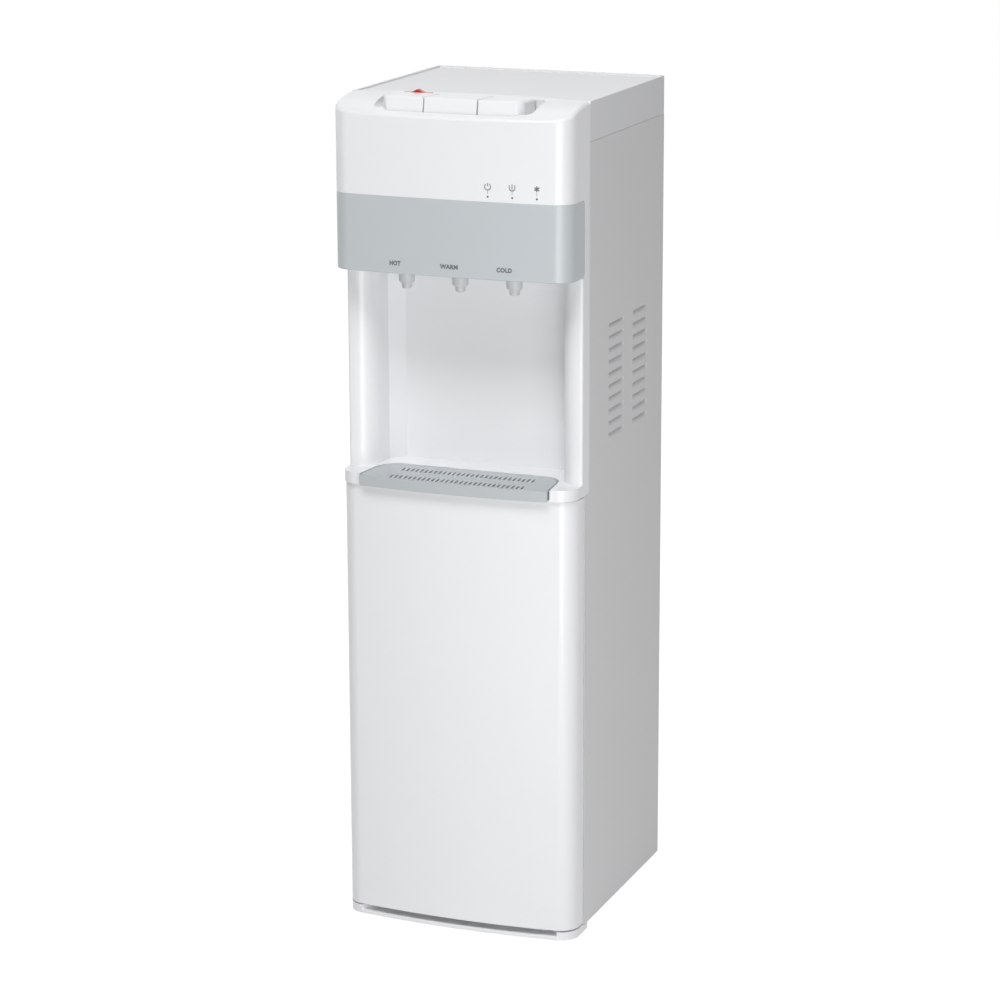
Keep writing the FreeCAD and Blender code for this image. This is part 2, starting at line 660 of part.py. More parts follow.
def side_panel(name, sign):
    """Steel side sheet with jamb and rear flanges and two columns of louvres."""
    body = new_body(name)
    for part, low, high, front in (
            ("lower", "side_level", "(shelf_level - gap)", JAMB),
            ("upper", "(shelf_level - gap)", f"({COVER_SEAM} - gap)", f"({SEAM} + gap)")):
        plan = new_sketch(body, f"{name}_{part}_plan", offset=low)
        corners = [
            (HALF, front), (HALF, SIDE_REAR), (f"{HALF} - rear_flange", SIDE_REAR),
            (f"{HALF} - rear_flange", f"{SIDE_REAR} - steel"),
            (f"{HALF} - steel", f"{SIDE_REAR} - steel"), (f"{HALF} - steel", f"{front} + steel"),
            (f"{HALF} - jamb_flange", f"{front} + steel"), (f"{HALF} - jamb_flange", front),
        ]
        add_outline(plan, [(side_of_x(sign, x), y) for x, y in corners])
        pad(body, plan, f"{high} - {low}")
    first = f"({FRONT} + louvre_front)"
    foot = "(louvre_start - louvre_window)"
    window = new_sketch(body, f"{name}_window", "YZ_Plane", side_of_x(sign, f"{HALF} + 1"))
    add_rectangle(window, first, f"{first} + louvre_length", foot, "louvre_start")
    opening = pocket(body, window, "steel + 2", upward=sign < 0)
    blade = new_sketch(body, f"{name}_blade", "XZ_Plane", minus(f"{first} + louvre_length"))
    tip = "(louvre_start - louvre_slot)"
    corners = [
        (HALF, f"{foot} - 0.2"), (HALF, foot), (f"{HALF} - louvre_dip", tip),
        (f"{HALF} - louvre_dip - steel", tip), (f"{HALF} - steel", foot),
        (f"{HALF} - steel", f"{foot} - 0.2"),
    ]
    add_outline(blade, [(side_of_x(sign, x), z) for x, z in corners])
    leaf = pad(body, blade, "louvre_length")
    pattern(body, [opening, leaf], "Z_Axis", "louvre_pitch * (louvre_rows - 1)", "louvre_rows",
            "Y_Axis", "louvre_column", "2")
    screw_holes(body, [sign])
    return body


def panel_screws():
    """Ten pan-head screws that hold the back panel to the side panels."""
    screws = []
    for sign in (1, -1):
        for number, level in enumerate(SCREW_LEVELS):
            tag = f"{'right' if sign > 0 else 'left'}_{number}"
            x = side_of_x(sign, SCREW_X)
            head = rod(f"screw_head_{tag}", x, f"{SIDE_REAR} + 0.02", level, "2 * screw_radius",
                       "cover_overhang - 0.12", "Y")
            shank = rod(f"screw_shank_{tag}", x, f"{SIDE_REAR} - 6", level, "screw_radius",
                        "6.5", "Y")
            screws.append(fuse(f"screw_{tag}", [head, shank]))
    return group("panel_screws", screws)


# Places on the back panel
SWITCH_LEVEL = f"({COVER_TOP} - switch_drop)"
SWITCH_X = {"hot": "switch_hot_x", "cold": "switch_cold_x"}
TANK_Y = "tank_y"
DRAIN_LEVEL = "(tank_shelf_level + 29)"


def back_panel():
    """Steel back with a recess for the condenser and holes for what passes through."""
    body = new_body("back_panel")
    low = f"({PAN_TOP} + pan_rim + gap)"
    wing = f"({SIDE_REAR} - steel - gap)"
    recess = f"({HALF} - recess_margin)"
    inner = f"({recess} - steel)"
    edge = f"({HALF} - wing_inset)"
    front = [(edge, f"{wing} - steel"), (recess, f"{wing} - steel"), (recess, BACK_WEB)]
    rear = [(inner, f"{BACK_WEB} + steel"), (inner, wing), (edge, wing)]
    plan = new_sketch(body, "back_plan", offset=low)
    add_outline(plan, front + [(minus(x), y) for x, y in reversed(front)]
                + [(minus(x), y) for x, y in reversed(rear)] + rear)
    pad(body, plan, f"{COVER_SEAM} - gap - {low}")
    holes = new_sketch(body, "back_hole_plan", "XZ_Plane", minus(f"{BACK_WEB} + 3"))
    for x in SWITCH_X.values():
        add_rectangle(holes, f"{x} - 7.2", f"{x} + 7.2", f"{SWITCH_LEVEL} - 9.7",
                      f"{SWITCH_LEVEL} + 9.7")
    add_circle(holes, "gland_x", "gland_level", "gland_bore + 2.7")
    add_circle(holes, "tap_pitch", DRAIN_LEVEL, "drain_radius + 1")
    add_circle(holes, "-tap_pitch", DRAIN_LEVEL, "drain_radius + 1")
    add_circle(holes, "compressor_x", "condenser_top", "condenser_tube + 2")
    add_circle(holes, "capillary_x", "capillary_level", "capillary_radius + 1.5")
    pocket(body, holes, "6", upward=True)
    screw_holes(body, [1, -1])
    return body


def top_cover():
    """Moulded cover with a raised rim, open towards the fascia."""
    body = new_body("top_cover")
    front = f"({SEAM} + gap)"
    plan = new_sketch(body, "cover_plan", offset=COVER_SEAM)
    corner = "cover_corner"
    add_outline(plan, [
        (HALF, front), (HALF, f"{REAR} - {corner}", corner, "left"), (f"{HALF} - {corner}", REAR),
        (f"{corner} - {HALF}", REAR, corner, "left"), (minus(HALF), f"{REAR} - {corner}"),
        (minus(HALF), front),
    ])
    pad(body, plan, "cover_height")
    hollow = new_sketch(body, "cover_hollow_plan", offset=f"{COVER_TOP} - wall - cover_rim")
    deep = f"({HALF} - wall)"
    add_rectangle(hollow, minus(deep), deep, f"{front} - 1", f"{REAR} - wall")
    pocket(body, hollow, "cover_height")
    field = new_sketch(body, "cover_field_plan", offset=COVER_TOP)
    edge = f"({HALF} - cover_rim_width)"
    add_rectangle(field, minus(edge), edge, f"{front} - 1", f"{REAR} - cover_rim_width")
    pocket(body, field, "cover_rim")
    notch = new_sketch(body, "cover_notch_plan", offset=COVER_TOP)
    add_rectangle(notch, "lock_x - 35", "lock_x + 35", f"{front} - 2", f"{FRONT} + 83")
    pocket(body, notch, "10")
    fillet(body, "cover_rim_round", lambda edge: edge.BoundBox.ZMin > value(COVER_TOP) - 0.1,
           "0.8")
    return body


def crown_cut(body, name, inset):
    """Shape the front of the top as an arc that meets the flat cover tangentially."""
    start = f"({FRONT} - 5)"
    centre_y = f"({FRONT} + crown_start)"
    radius = f"(crown_radius - {inset})"
    centre_z = f"({COVER_TOP} - crown_radius)"
    sketch = new_sketch(body, name, "YZ_Plane", minus(f"{HALF} + 5"))
    low = f"{centre_z} + sqrt({radius}^2 - (crown_start + 5)^2)"
    add_outline(sketch, [
        (start, low, radius, "right"),
        (centre_y, f"{centre_z} + {radius}"),
        (centre_y, f"{COVER_TOP} + 5"),
        (start, f"{COVER_TOP} + 5"),
    ])
    pocket(body, sketch, f"2 * {HALF} + 10", upward=True)


def fascia_block(name, inset, low, rear):
    """Solid front block with the crowned top, drawn in by an inset."""
    body = new_body(name)
    plan = new_sketch(body, f"{name}_plan", offset=low)
    add_outline(plan, bowed(f"({FRONT} + {inset})", f"(fascia_bow - {inset})",
                            f"(fascia_corner - {inset})", rear, half=f"({HALF} - {inset})"))
    pad(body, plan, f"{COVER_TOP} - {inset} - {low}")
    crown_cut(body, f"{name}_crown", inset)
    top = value(COVER_TOP)
    fillet(body, f"{name}_round",
           lambda edge: edge.BoundBox.ZMin > top - 40 and edge.BoundBox.YMax < value(FRONT) + 14
           and edge.BoundBox.XLength > value(HALF),
           f"front_round - {inset}")
    return body


def scoop_cut(tag, sign):
    """Bowl at one end of the button well."""
    body = new_body(f"scoop_{tag}")
    profile = new_sketch(body, f"scoop_{tag}_profile", "XZ_Plane",
                         minus(f"({WELL_Y} + scoop_reach)"))
    floor = f"({COVER_TOP} - scoop_drop)"
    top = f"({COVER_TOP} + 4)"
    turn = "left" if sign > 0 else "right"
    add_outline(profile, [
        (side_of_x(sign, "(button_half - 2)"), top), (side_of_x(sign, "(button_half - 2)"), floor),
        (side_of_x(sign, "(well_half - scoop_curve)"), floor, "scoop_curve", turn),
        (side_of_x(sign, "well_half"), f"({floor} + scoop_curve)"),
        (side_of_x(sign, "well_half"), top),
    ])
    pad(body, profile, "2 * scoop_reach")
    end = value("well_half") - 0.01
    fillet(body, f"scoop_{tag}_corners",
           lambda edge: abs(edge.BoundBox.XMin) > end and abs(edge.BoundBox.XMax) > end
           and edge.BoundBox.ZLength > 5 and edge.BoundBox.YLength < 0.01, "scoop_corner")
    return body


def upper_fascia():
    """Front of the head: shell with the crowned top, the button well and the tongue."""
    outer = fascia_block("fascia_block", "0", PANEL_LEVEL, SEAM)
    window = new_sketch(outer, "tap_panel_window", "YZ_Plane", minus(f"{HALF} + 5"))
    end = f"({FRONT} + tap_panel_side + gap)"
    radius = "(tap_panel_end + gap)"
    add_outline(window, [
        (f"{FRONT} - 5", PANEL_LEVEL),
        (f"{end} - {radius}", PANEL_LEVEL, radius, "left"),
        (end, f"{PANEL_LEVEL} + {radius}"),
        (end, f"{PANEL_TOP} - {radius}", radius, "left"),
        (f"{end} - {radius}", PANEL_TOP),
        (f"{FRONT} - 5", PANEL_TOP),
    ])
    pocket(outer, window, f"2 * {HALF} + 10", upward=True)
    hollow = fascia_block("fascia_hollow", "wall", f"({PANEL_LEVEL} - 1)", f"({SEAM} + 1)")
    near, far = "(button_half + button_clearance)", "(well_half + scoop_wall)"
    cups = [block(f"scoop_cup_{tag}", low, high, f"{WELL_Y} - scoop_reach - scoop_wall",
                  f"{WELL_Y} + scoop_reach + scoop_wall", f"{COVER_TOP} - scoop_drop - scoop_wall",
                  f"{COVER_TOP} + 1")
            for tag, low, high in (("right", near, far), ("left", minus(far), minus(near)))]
    hollow = cut("fascia_hollow_round_cups", hollow, fuse("scoop_cups", cups))
    shell = cut("fascia_shell", outer, hollow)
    edge = f"({FRONT} + tongue_length)"
    end = f"({edge} - tongue_bow + sqrt(tongue_bow^2 - tongue_half^2))"
    tongue = new_body("fascia_tongue")
    plan = new_sketch(tongue, "tongue_plan", offset=f"{COVER_TOP} - tongue_thickness")
    add_outline(plan, [
        ("-tongue_half", f"{SEAM} - 1"), ("tongue_half", f"{SEAM} - 1"),
        ("tongue_half", end, "tongue_bow", "left"), ("-tongue_half", end),
    ])
    pad(tongue, plan, "tongue_thickness")
    whole = fuse("fascia_with_tongue", [shell, tongue])
    openings = new_body("fascia_openings")
    well = new_sketch(openings, "well_plan", offset=f"{COVER_TOP} - 22")
    add_outline(well, rounded_box("(button_half + button_clearance)",
                                  f"({WELL_Y} - well_reach)", f"({WELL_Y} + well_reach)",
                                  "(button_corner + button_clearance)"))
    pad(openings, well, "30")
    slot = block("lock_slot", "lock_x - lock_slot_half", "lock_x + lock_slot_half",
                 "lock_y - 2", "lock_y + 2", f"{COVER_TOP} - 6", f"{COVER_TOP} + 2")
    lamps = [rod(f"lamp_hole_{n}", f"lamp_first + {n} * lamp_pitch", f"{FRONT} - 2", "lamp_level",
                 "lamp_radius + 0.1", "12", "Y") for n in range(3)]
    scoops = [scoop_cut(tag, sign) for tag, sign in (("right", 1), ("left", -1))]
    return cut("upper_fascia", whole, fuse("fascia_cuts", [openings, slot] + scoops + lamps))


def tap_panel():
    """Front band of the head with a floor plate that the nozzles pass through."""
    body = new_body("tap_panel")
    low = f"({PANEL_LEVEL} + gap)"
    rear = f"({FRONT} + tap_panel_side)"
    plan = new_sketch(body, "tap_panel_plan", offset=low)
    add_outline(plan, bowed(FRONT, "fascia_bow", "fascia_corner", rear))
    pad(body, plan, f"{PANEL_TOP} - gap - {low}")
    back = value(rear)
    fillet(body, "tap_panel_ends",
           lambda edge: edge.BoundBox.YMin > back - 0.01 and edge.BoundBox.XLength > value(HALF),
           "tap_panel_end")
    bottom = value(low)
    fillet(body, "tap_panel_round",
           lambda edge: edge.BoundBox.ZMax < bottom + 0.01 and edge.BoundBox.YMin < value(FRONT) + 1
           and edge.BoundBox.XLength > value(HALF),
           "tap_panel_round_radius")
    hollow = new_sketch(body, "tap_panel_hollow_plan", offset=f"{PANEL_TOP} + 1")
    add_outline(hollow, bowed(f"({FRONT} + wall)", "(fascia_bow - wall)", "(fascia_corner - wall)",
                              f"({rear} + 1)", half=f"({HALF} - wall)"))
    pocket(body, hollow, f"{PANEL_TOP} + 1 - {low} - wall")
    holes = new_sketch(body, "tap_panel_hole_plan", offset=f"{low} + wall + 1")
    for x in ("-tap_pitch", "0", "tap_pitch"):
        add_circle(holes, x, TAP_Y, "nozzle_collar + 0.5")
    pocket(body, holes, "wall + 2")
    return body


def alcove_path(offset):
    """Right half of the wall line of the alcove, set back by an offset."""
    turn = f"({offset} * tan(22.5))"
    side = f"({HALF} - {offset})"
    front = f"({FRONT} + column_setback)"
    inner = f"(alcove_half + {offset})"
    return [
        (side, SEAM),
        (side, f"{front} + column_outer", f"(column_outer - {offset})", "right"),
        (f"{HALF} - column_outer", f"{front} + {offset}"),
        (f"alcove_half + column_inner", f"{front} + {offset}", f"(column_inner - {offset})", "right"),
        (inner, f"{front} + column_inner"),
        (inner, f"{ALCOVE_REAR} - alcove_chamfer + {turn}"),
        (f"alcove_half - alcove_chamfer + {turn}", f"{ALCOVE_REAR} + {offset}"),
    ]


def mirrored(path):
    """The same path on the left side, walked backwards."""
    points = [(minus(corner[0]), corner[1]) for corner in path]
    arcs = {number: corner[2:] for number, corner in enumerate(path) if len(corner) > 2}
    result = []
    for number in reversed(range(len(points))):
        arc = arcs.get(number - 1)
        result.append(points[number] + (arc if arc else ()))
    return result


def reversed_path(path):
    """A path walked from its end to its start, with its arcs turned."""
    swap = {"left": "right", "right": "left"}
    arcs = {number: corner[2:] for number, corner in enumerate(path) if len(corner) > 2}
    result = []
    for number in reversed(range(len(path))):
        arc = arcs.get(number - 1)
        result.append(path[number][:2] + ((arc[0], swap[arc[1]]) if arc else ()))
    return result


def alcove_panel():
    """Moulding of the columns, the alcove, its ceiling and the tray shelf."""
    body = new_body("alcove_moulding")
    shelf = new_sketch(body, "shelf_plan", offset="shelf_level")
    add_outline(shelf, bowed(SHELF_FRONT, "door_bow", "door_corner", SEAM))
    pad(body, shelf, "shelf_height")
    rear = f"({FRONT} + tray_rear + tray_gap + wall)"
    core = new_sketch(body, "shelf_core_plan", offset="shelf_level")
    side = "(tray_half + tray_gap + wall)"
    add_rectangle(core, minus(side), side, f"{SEAM} - 5", rear)
    pad(body, core, "shelf_height")
    floor = new_sketch(body, "alcove_floor_plan", offset=f"{LEDGE} - wall")
    back = f"({ALCOVE_REAR} + wall)"
    throat = f"({HALF} - jamb_flange - gap)"
    add_rectangle(floor, minus(throat), throat, f"{SEAM} - 5", back)
    pad(body, floor, "wall")
    ceiling = new_sketch(body, "alcove_ceiling_plan", offset=PANEL_LEVEL)
    lip = f"({HALF} - wall - gap)"
    front = f"({FRONT} + tap_panel_side + gap)"
    add_outline(ceiling, [
        (lip, front), (lip, SEAM), (throat, SEAM), (throat, back), (minus(throat), back),
        (minus(throat), SEAM), (minus(lip), SEAM), (minus(lip), front),
    ])
    pad(body, ceiling, "wall")
    walls = new_sketch(body, "alcove_wall_plan", offset=f"{LEDGE} - 1")
    seen = alcove_path("0")
    hidden = alcove_path("wall")
    add_outline(walls, seen + mirrored(seen) + reversed_path(mirrored(hidden))
                + reversed_path(hidden))
    pad(body, walls, "alcove_height + 1")
    place_for_tray = new_sketch(body, "tray_pocket_plan", offset=f"{LEDGE} + 1")
    add_outline(place_for_tray, tray_outline("(-tray_gap)"))
    pocket(body, place_for_tray, "shelf_height + 1 - 2")
    pin_hole = rod("hinge_hole_top", HINGE_X, HINGE_Y, "shelf_level - 1",
                   "hinge_pin_radius + running_clearance", "9")
    return cut("alcove_panel", body, pin_hole)


def bow_band(half, near, far):
    """Plan outline of a band between two depths behind the bowed shelf front."""
    def edge(depth):
        radius = f"(door_bow - ({depth}))"
        return radius, f"({SHELF_FRONT} + door_bow - sqrt({radius}^2 - {half}^2))"
    near_radius, near_y = edge(near)
    far_radius, far_y = edge(far)
    return [(minus(half), near_y, near_radius, "left"), (half, near_y),
            (half, far_y, far_radius, "right"), (minus(half), far_y)]


def tray_outline(inset):
    """Plan outline of the drip tray, narrower to its rear, drawn in by an inset."""
    half = f"(tray_half - {inset})"
    radius = f"(door_bow + tray_reach - {inset})"
    front = f"({SHELF_FRONT} + door_bow - sqrt({radius}^2 - {half}^2))"
    rear = f"({FRONT} + tray_rear - {inset})"
    corner = f"(tray_corner - {inset})"
    tangent = f"({corner} * tan(45 - tray_lean / 2))"
    end = f"({half} - ({rear} - {front}) * tan(tray_lean))"
    side = f"({end} + {tangent} * sin(tray_lean))"
    start = f"({rear} - {tangent} * cos(tray_lean))"
    return [
        (minus(half), front, radius, "left"), (half, front),
        (side, start, corner, "left"), (f"({end} - {tangent})", rear),
        (f"({tangent} - {end})", rear, corner, "left"), (minus(side), start),
    ]


def drip_tray():
    """Pull-out tray with a bowed front lip and a rebate for the grille."""
    body = new_body("drip_tray")
    low = "(shelf_level + 2 + gap)"
    plan = new_sketch(body, "tray_plan", offset=low)
    add_outline(plan, tray_outline("0"))
    pad(body, plan, f"{TRAY_TOP} - {low}")
    lip = new_sketch(body, "tray_lip_plan", offset="shelf_level + gap")
    add_outline(lip, bow_band("(tray_half - 0.6)", "(-tray_reach)", "(tray_lip - tray_reach)"))
    pad(body, lip, "4")
    rebate = new_sketch(body, "tray_rebate_plan", offset=TRAY_TOP)
    add_outline(rebate, tray_outline("(grille_inset - 0.2)"))
    pocket(body, rebate, "grille_thickness + 0.1")
    hollow = new_sketch(body, "tray_hollow_plan", offset=TRAY_TOP)
    add_outline(hollow, tray_outline("(grille_inset + tray_wall + 0.6)"))
    pocket(body, hollow, f"{TRAY_TOP} - {low} - tray_wall")
    return body


def drip_grille():
    """Loose grille with two rows of leaning slots."""
    body = new_body("drip_grille")
    plan = new_sketch(body, "grille_plan", offset=f"{TRAY_TOP} - grille_thickness")
    add_outline(plan, tray_outline("grille_inset"))
    pad(body, plan, "grille_thickness")
    slot = new_sketch(body, "grille_slot_plan", offset=TRAY_TOP)
    x = "(-grille_pitch * (grille_columns - 1) / 2 + grille_offset)"
    y = f"({FRONT} + tray_rear - grille_row_rear - grille_row_gap)"
    along = ("(-sin(grille_slot_lean) * grille_slot_length / 2)",
             "(cos(grille_slot_lean) * grille_slot_length / 2)")
    across = ("(cos(grille_slot_lean) * grille_slot_width / 2)",
              "(sin(grille_slot_lean) * grille_slot_width / 2)")
    add_outline(slot, [
        (f"{x} - {along[0]} - {across[0]}", f"{y} - {along[1]} - {across[1]}"),
        (f"{x} - {along[0]} + {across[0]}", f"{y} - {along[1]} + {across[1]}"),
        (f"{x} + {along[0]} + {across[0]}", f"{y} + {along[1]} + {across[1]}"),
        (f"{x} + {along[0]} - {across[0]}", f"{y} + {along[1]} - {across[1]}"),
    ])
    opening = pocket(body, slot, "grille_thickness + 1")
    pattern(body, [opening], "X_Axis", "grille_pitch * (grille_columns - 1)", "grille_columns",
            "Y_Axis", "grille_row_gap", "2")
    return body


def door_skin():
    """Door shell, bowed and open at the rear, with a hinge boss at each end."""
    body = new_body("door_skin")
    top = "(shelf_level - door_gap)"
    plan = new_sketch(body, "door_plan", offset="door_level")
    add_outline(plan, bowed(DOOR_FRONT, "door_bow", "door_corner", DOOR_REAR,
                            rear_corner="door_rear_corner"))
    pad(body, plan, f"{top} - door_level")
    hollow = new_sketch(body, "door_hollow_plan", offset=f"{top} - wall")
    add_outline(hollow, bowed(f"({DOOR_FRONT} + wall)", "(door_bow - wall)",
                              "(door_corner - wall)", f"({DOOR_REAR} + 1)",
                              half=f"({HALF} - wall)"))
    pocket(body, hollow, f"{top} - door_level - 2 * wall")
    for name, low, high in (("low", "(door_level + 1)", "(door_level + hinge_engagement + 3)"),
                            ("high", f"({top} - hinge_engagement - 3)", f"({top} - 1)")):
        boss = new_sketch(body, f"door_boss_{name}_plan", offset=low)
        add_rectangle(boss, f"{HINGE_X} - 5", f"{HALF} - 1", f"{HINGE_Y} - 5",
                      f"{DOOR_REAR} - 2")
        pad(body, boss, f"{high} - {low}")
    for name, level, upward in (("low", "door_level - 1", True), ("high", f"{top} + 1", False)):
        hole = new_sketch(body, f"door_bore_{name}_plan", offset=level)
        add_circle(hole, HINGE_X, HINGE_Y, "hinge_pin_radius + running_clearance")
        pocket(body, hole, "hinge_engagement + 2", upward=upward)
    return body


def door_inner_panel():
    """Panel that closes the rear of the door, with a pressed field."""
    body = new_body("door_inner_panel")
    half = f"({HALF} - wall - gap)"
    low = "(door_level + wall + gap)"
    high = "(shelf_level - door_gap - wall - gap)"
    rear = f"({DOOR_REAR} - gap)"
    face = new_sketch(body, "liner_plan", "XZ_Plane", minus(rear))
    add_outline(face, [
        (minus(half), low), (f"{HINGE_X} - 6", low),
        (f"{HINGE_X} - 6", "door_level + hinge_engagement + 4"),
        (half, "door_level + hinge_engagement + 4"),
        (half, "shelf_level - door_gap - hinge_engagement - 4"),
        (f"{HINGE_X} - 6", "shelf_level - door_gap - hinge_engagement - 4"),
        (f"{HINGE_X} - 6", high), (minus(half), high),
    ])
    pad(body, face, "liner_depth")
    field = new_sketch(body, "liner_field_plan", "XZ_Plane", minus(f"{rear} + 1"))
    add_rectangle(field, f"28 - {half}", f"{HINGE_X} - 22", f"{low} + 20", f"{high} - 20")
    pocket(body, field, "liner_depth + 1 - wall", upward=True)
    back = new_sketch(body, "liner_back_plan", "XZ_Plane", minus(f"{rear} - wall"))
    add_rectangle(back, f"wall - {half}", f"28 - {half} - wall", f"{low} + wall", f"{high} - wall")
    pocket(body, back, "liner_depth + 1", upward=True)
    return body


def hinge_pins():
    """Lower and upper steel pin that the door turns on."""
    low = rod("hinge_pin_low", HINGE_X, HINGE_Y, "pan_level - 2.5", "hinge_pin_radius",
              "door_level - pan_level + 2.5 + hinge_engagement")
    high = rod("hinge_pin_high", HINGE_X, HINGE_Y, "shelf_level - door_gap - hinge_engagement",
               "hinge_pin_radius", "hinge_engagement + door_gap + 7")
    return group("hinge_pins", [low, high])


def door_magnet():
    """Magnetic catch at the left jamb."""
    edge = f"({HALF} - jamb_flange - gap)"
    case = block("magnet_case", minus(edge), f"13 - {edge}", f"{DOOR_REAR} + 1",
                 f"{DOOR_REAR} + 15", "catch_level - 20", "catch_level + 20")
    strip = block("magnet_strip", f"3 - {edge}", f"10 - {edge}", f"{DOOR_REAR} + 0.6",
                  f"{DOOR_REAR} + 1.2", "catch_level - 16", "catch_level + 16")
    return fuse("door_magnet", [case, strip])


def strike_plate():
    """Steel plate on the door that the magnet holds."""
    edge = f"({HALF} - jamb_flange - gap)"
    plate = block("strike_plate", f"1 - {edge}", f"12 - {edge}", f"{DOOR_REAR} - gap + 0.02",
                  f"{DOOR_REAR} + 0.5", "catch_level - 18", "catch_level + 18")
    plate.Label = "strike_plate"
    return plate


# Controls


BUTTONS = {"hot": -1, "warm": 0, "cold": 1}


def button_outline(sign, inset, front="0"):
    """Plan outline of one button of the row, drawn in by an inset, more so at the front."""
    reach = f"(well_reach - button_clearance - {inset})"
    low = f"({WELL_Y} - {reach} + {front})"
    high = f"({WELL_Y} + {reach})"
    seam = f"(button_split / 2 + button_seam / 2 + {inset})"
    if sign == 0:
        edge = f"(button_split / 2 - button_seam / 2 - {inset})"
        return [(minus(edge), low), (edge, low), (edge, high), (minus(edge), high)]
    radius = f"(button_corner - {inset})"
    half = f"(button_half - {inset})"
    path = [
        (seam, low),
        (f"({half} - {radius})", low, radius, "left"),
        (half, f"({low} + {radius})"),
        (half, f"({high} - {radius})", radius, "left"),
        (f"({half} - {radius})", high),
        (seam, high),
    ]
    return path if sign > 0 else mirrored(path)


def button(name):
    """Wedge-shaped button, hollow below, that rocks on the shaft at its rear."""
    sign = BUTTONS[name]
    body = new_body(f"{name}_button_body")
    low = f"({COVER_TOP} - button_skirt)"
    top = f"({COVER_TOP} + button_rise)"
    plan = new_sketch(body, f"{name}_button_plan", offset=low)
    add_outline(plan, button_outline(sign, "0"))
    pad(body, plan, f"{top} - {low}")
    fall = new_sketch(body, f"{name}_button_fall", "YZ_Plane", minus(HALF))
    front = f"({WELL_Y} - well_reach + button_clearance)"
    rear = f"({WELL_Y} + well_reach)"
    rim = f"({top} - button_face)"
    add_outline(fall, [
        (f"{front} - 5", rim), (front, rim), (f"{front} + button_lean", top),
        (rear, f"{top} - button_fall"), (rear, f"{top} + 5"), (f"{front} - 5", f"{top} + 5"),
    ])
    pocket(body, fall, f"2 * {HALF}", upward=True)
    level = value(top) - value("button_fall") - 0.5
    fillet(body, f"{name}_button_round", lambda edge: edge.BoundBox.ZMin > level, "button_round")
    hollow = new_sketch(body, f"{name}_button_hollow", offset=low)
    add_outline(hollow, button_outline(sign, "button_wall", front="button_lean"))
    pocket(body, hollow, f"{top} - button_fall - button_wall - 0.6 - {low}", upward=True)
    boss = new_sketch(body, f"{name}_button_boss", offset=f"{low} + 4")
    x = f"({sign} * tap_pitch)"
    add_circle(boss, x, TAP_Y, "4")
    pad(body, boss, f"{top} - button_fall - button_wall - {low} - 4")
    bore = rod(f"{name}_shaft_bore", "-well_half - 2", f"{WELL_Y} + shaft_offset",
               f"{COVER_TOP} - shaft_drop", "shaft_radius + running_clearance",
               "2 * well_half + 4", "X")
    return cut(f"button_{name}", body, bore)


def button_shaft():
    """Steel shaft that carries the three buttons."""
    shaft = rod("button_shaft", "-well_half - 6", f"{WELL_Y} + shaft_offset",
                f"{COVER_TOP} - shaft_drop", "shaft_radius", "2 * well_half + 12", "X")
    shaft.Label = "button_shaft"
    return shaft


def button_carrier():
    """Plate under the buttons with cheeks for the shaft and guides for the rods."""
    half = f"({HALF} - wall - gap)"
    low = f"({COVER_TOP} - carrier_drop)"
    pieces = [block("carrier_plate", minus(half), half, f"{TAP_Y} - 12", f"{TAP_Y} + 31",
                    low, f"{low} + wall")]
    for tag, near, far in (("right", "well_half + 3", "well_half + 6"),
                           ("left", "-well_half - 6", "-well_half - 3")):
        pieces.append(block(f"carrier_cheek_{tag}", near, far, f"{TAP_Y} + 14", f"{TAP_Y} + 31",
                            low, f"{COVER_TOP} - shaft_drop + 4"))
    tools = [rod(f"carrier_guide_{name}", f"{sign} * tap_pitch", TAP_Y, f"{low} - 1",
                 "rod_radius + running_clearance", "wall + 2") for name, sign in BUTTONS.items()]
    tools.append(rod("carrier_shaft_bore", "-well_half - 7", f"{WELL_Y} + shaft_offset",
                     f"{COVER_TOP} - shaft_drop", "shaft_radius + 0.02", "2 * well_half + 14",
                     "X"))
    return cut("button_carrier", fuse("carrier_body", pieces), fuse("carrier_cuts", tools))


def turned(name, x, y, profile):
    """Body turned about a vertical axis from (radius, height) pairs."""
    body = new_body(name)
    sketch = new_sketch(body, f"{name}_profile", "XZ_Plane")
    add_outline(sketch, profile)
    revolve(body, sketch)
    place(body, x, y, "0")
    return body


VALVE_LOW = "(shelf_level + shelf_height + alcove_height + 6)"
NECK_TOP = f"({VALVE_LOW} + 58)"


def push_rod(name):
    """Rod from the button down through the valve neck to the plunger."""
    collar = f"({NECK_TOP} + spring_length)"
    top = f"({COVER_TOP} - button_skirt + 4 - 0.15)"
    shoulder = f"({NECK_TOP} + 8)"
    plunger = f"({VALVE_LOW} + 10)"
    return turned(f"push_rod_{name}", f"{BUTTONS[name]} * tap_pitch", TAP_Y, [
        ("0", plunger), ("7", plunger), ("7", f"{plunger} + 4"), ("2.5", f"{plunger} + 4"),
        ("2.5", shoulder), ("rod_radius", shoulder), ("rod_radius", collar), ("6.5", collar),
        ("6.5", f"{collar} + 2"), ("rod_radius", f"{collar} + 2"), ("rod_radius", f"{top} - 2"),
        ("1", top), ("0", top),
    ])


def helix_points(radius, pitch, turns, base):
    """Quarter-turn points of a helix, with the middle point of each piece."""
    count = int(round(turns * 4)) * 2
    return [FreeCAD.Vector(radius * math.cos(n * math.pi / 4), radius * math.sin(n * math.pi / 4),
                           base + pitch * n / 8) for n in range(count + 1)]


def coil(name, x, y, radius, wire, pitch, turns, base):
    """Wound wire or tube as one unbroken sweep along a helix."""
    points = helix_points(value(radius), value(pitch), turns, value(base))
    path = smooth_wire(points)
    print(f"{name}: least gap between turns {self_gap(path, value(wire), value(radius)):.2f} mm")
    item = doc.addObject("Part::Feature", name)
    item.Label = name
    item.Shape = sweep(path, value(wire))
    place(item, x, y, "0")
    return item


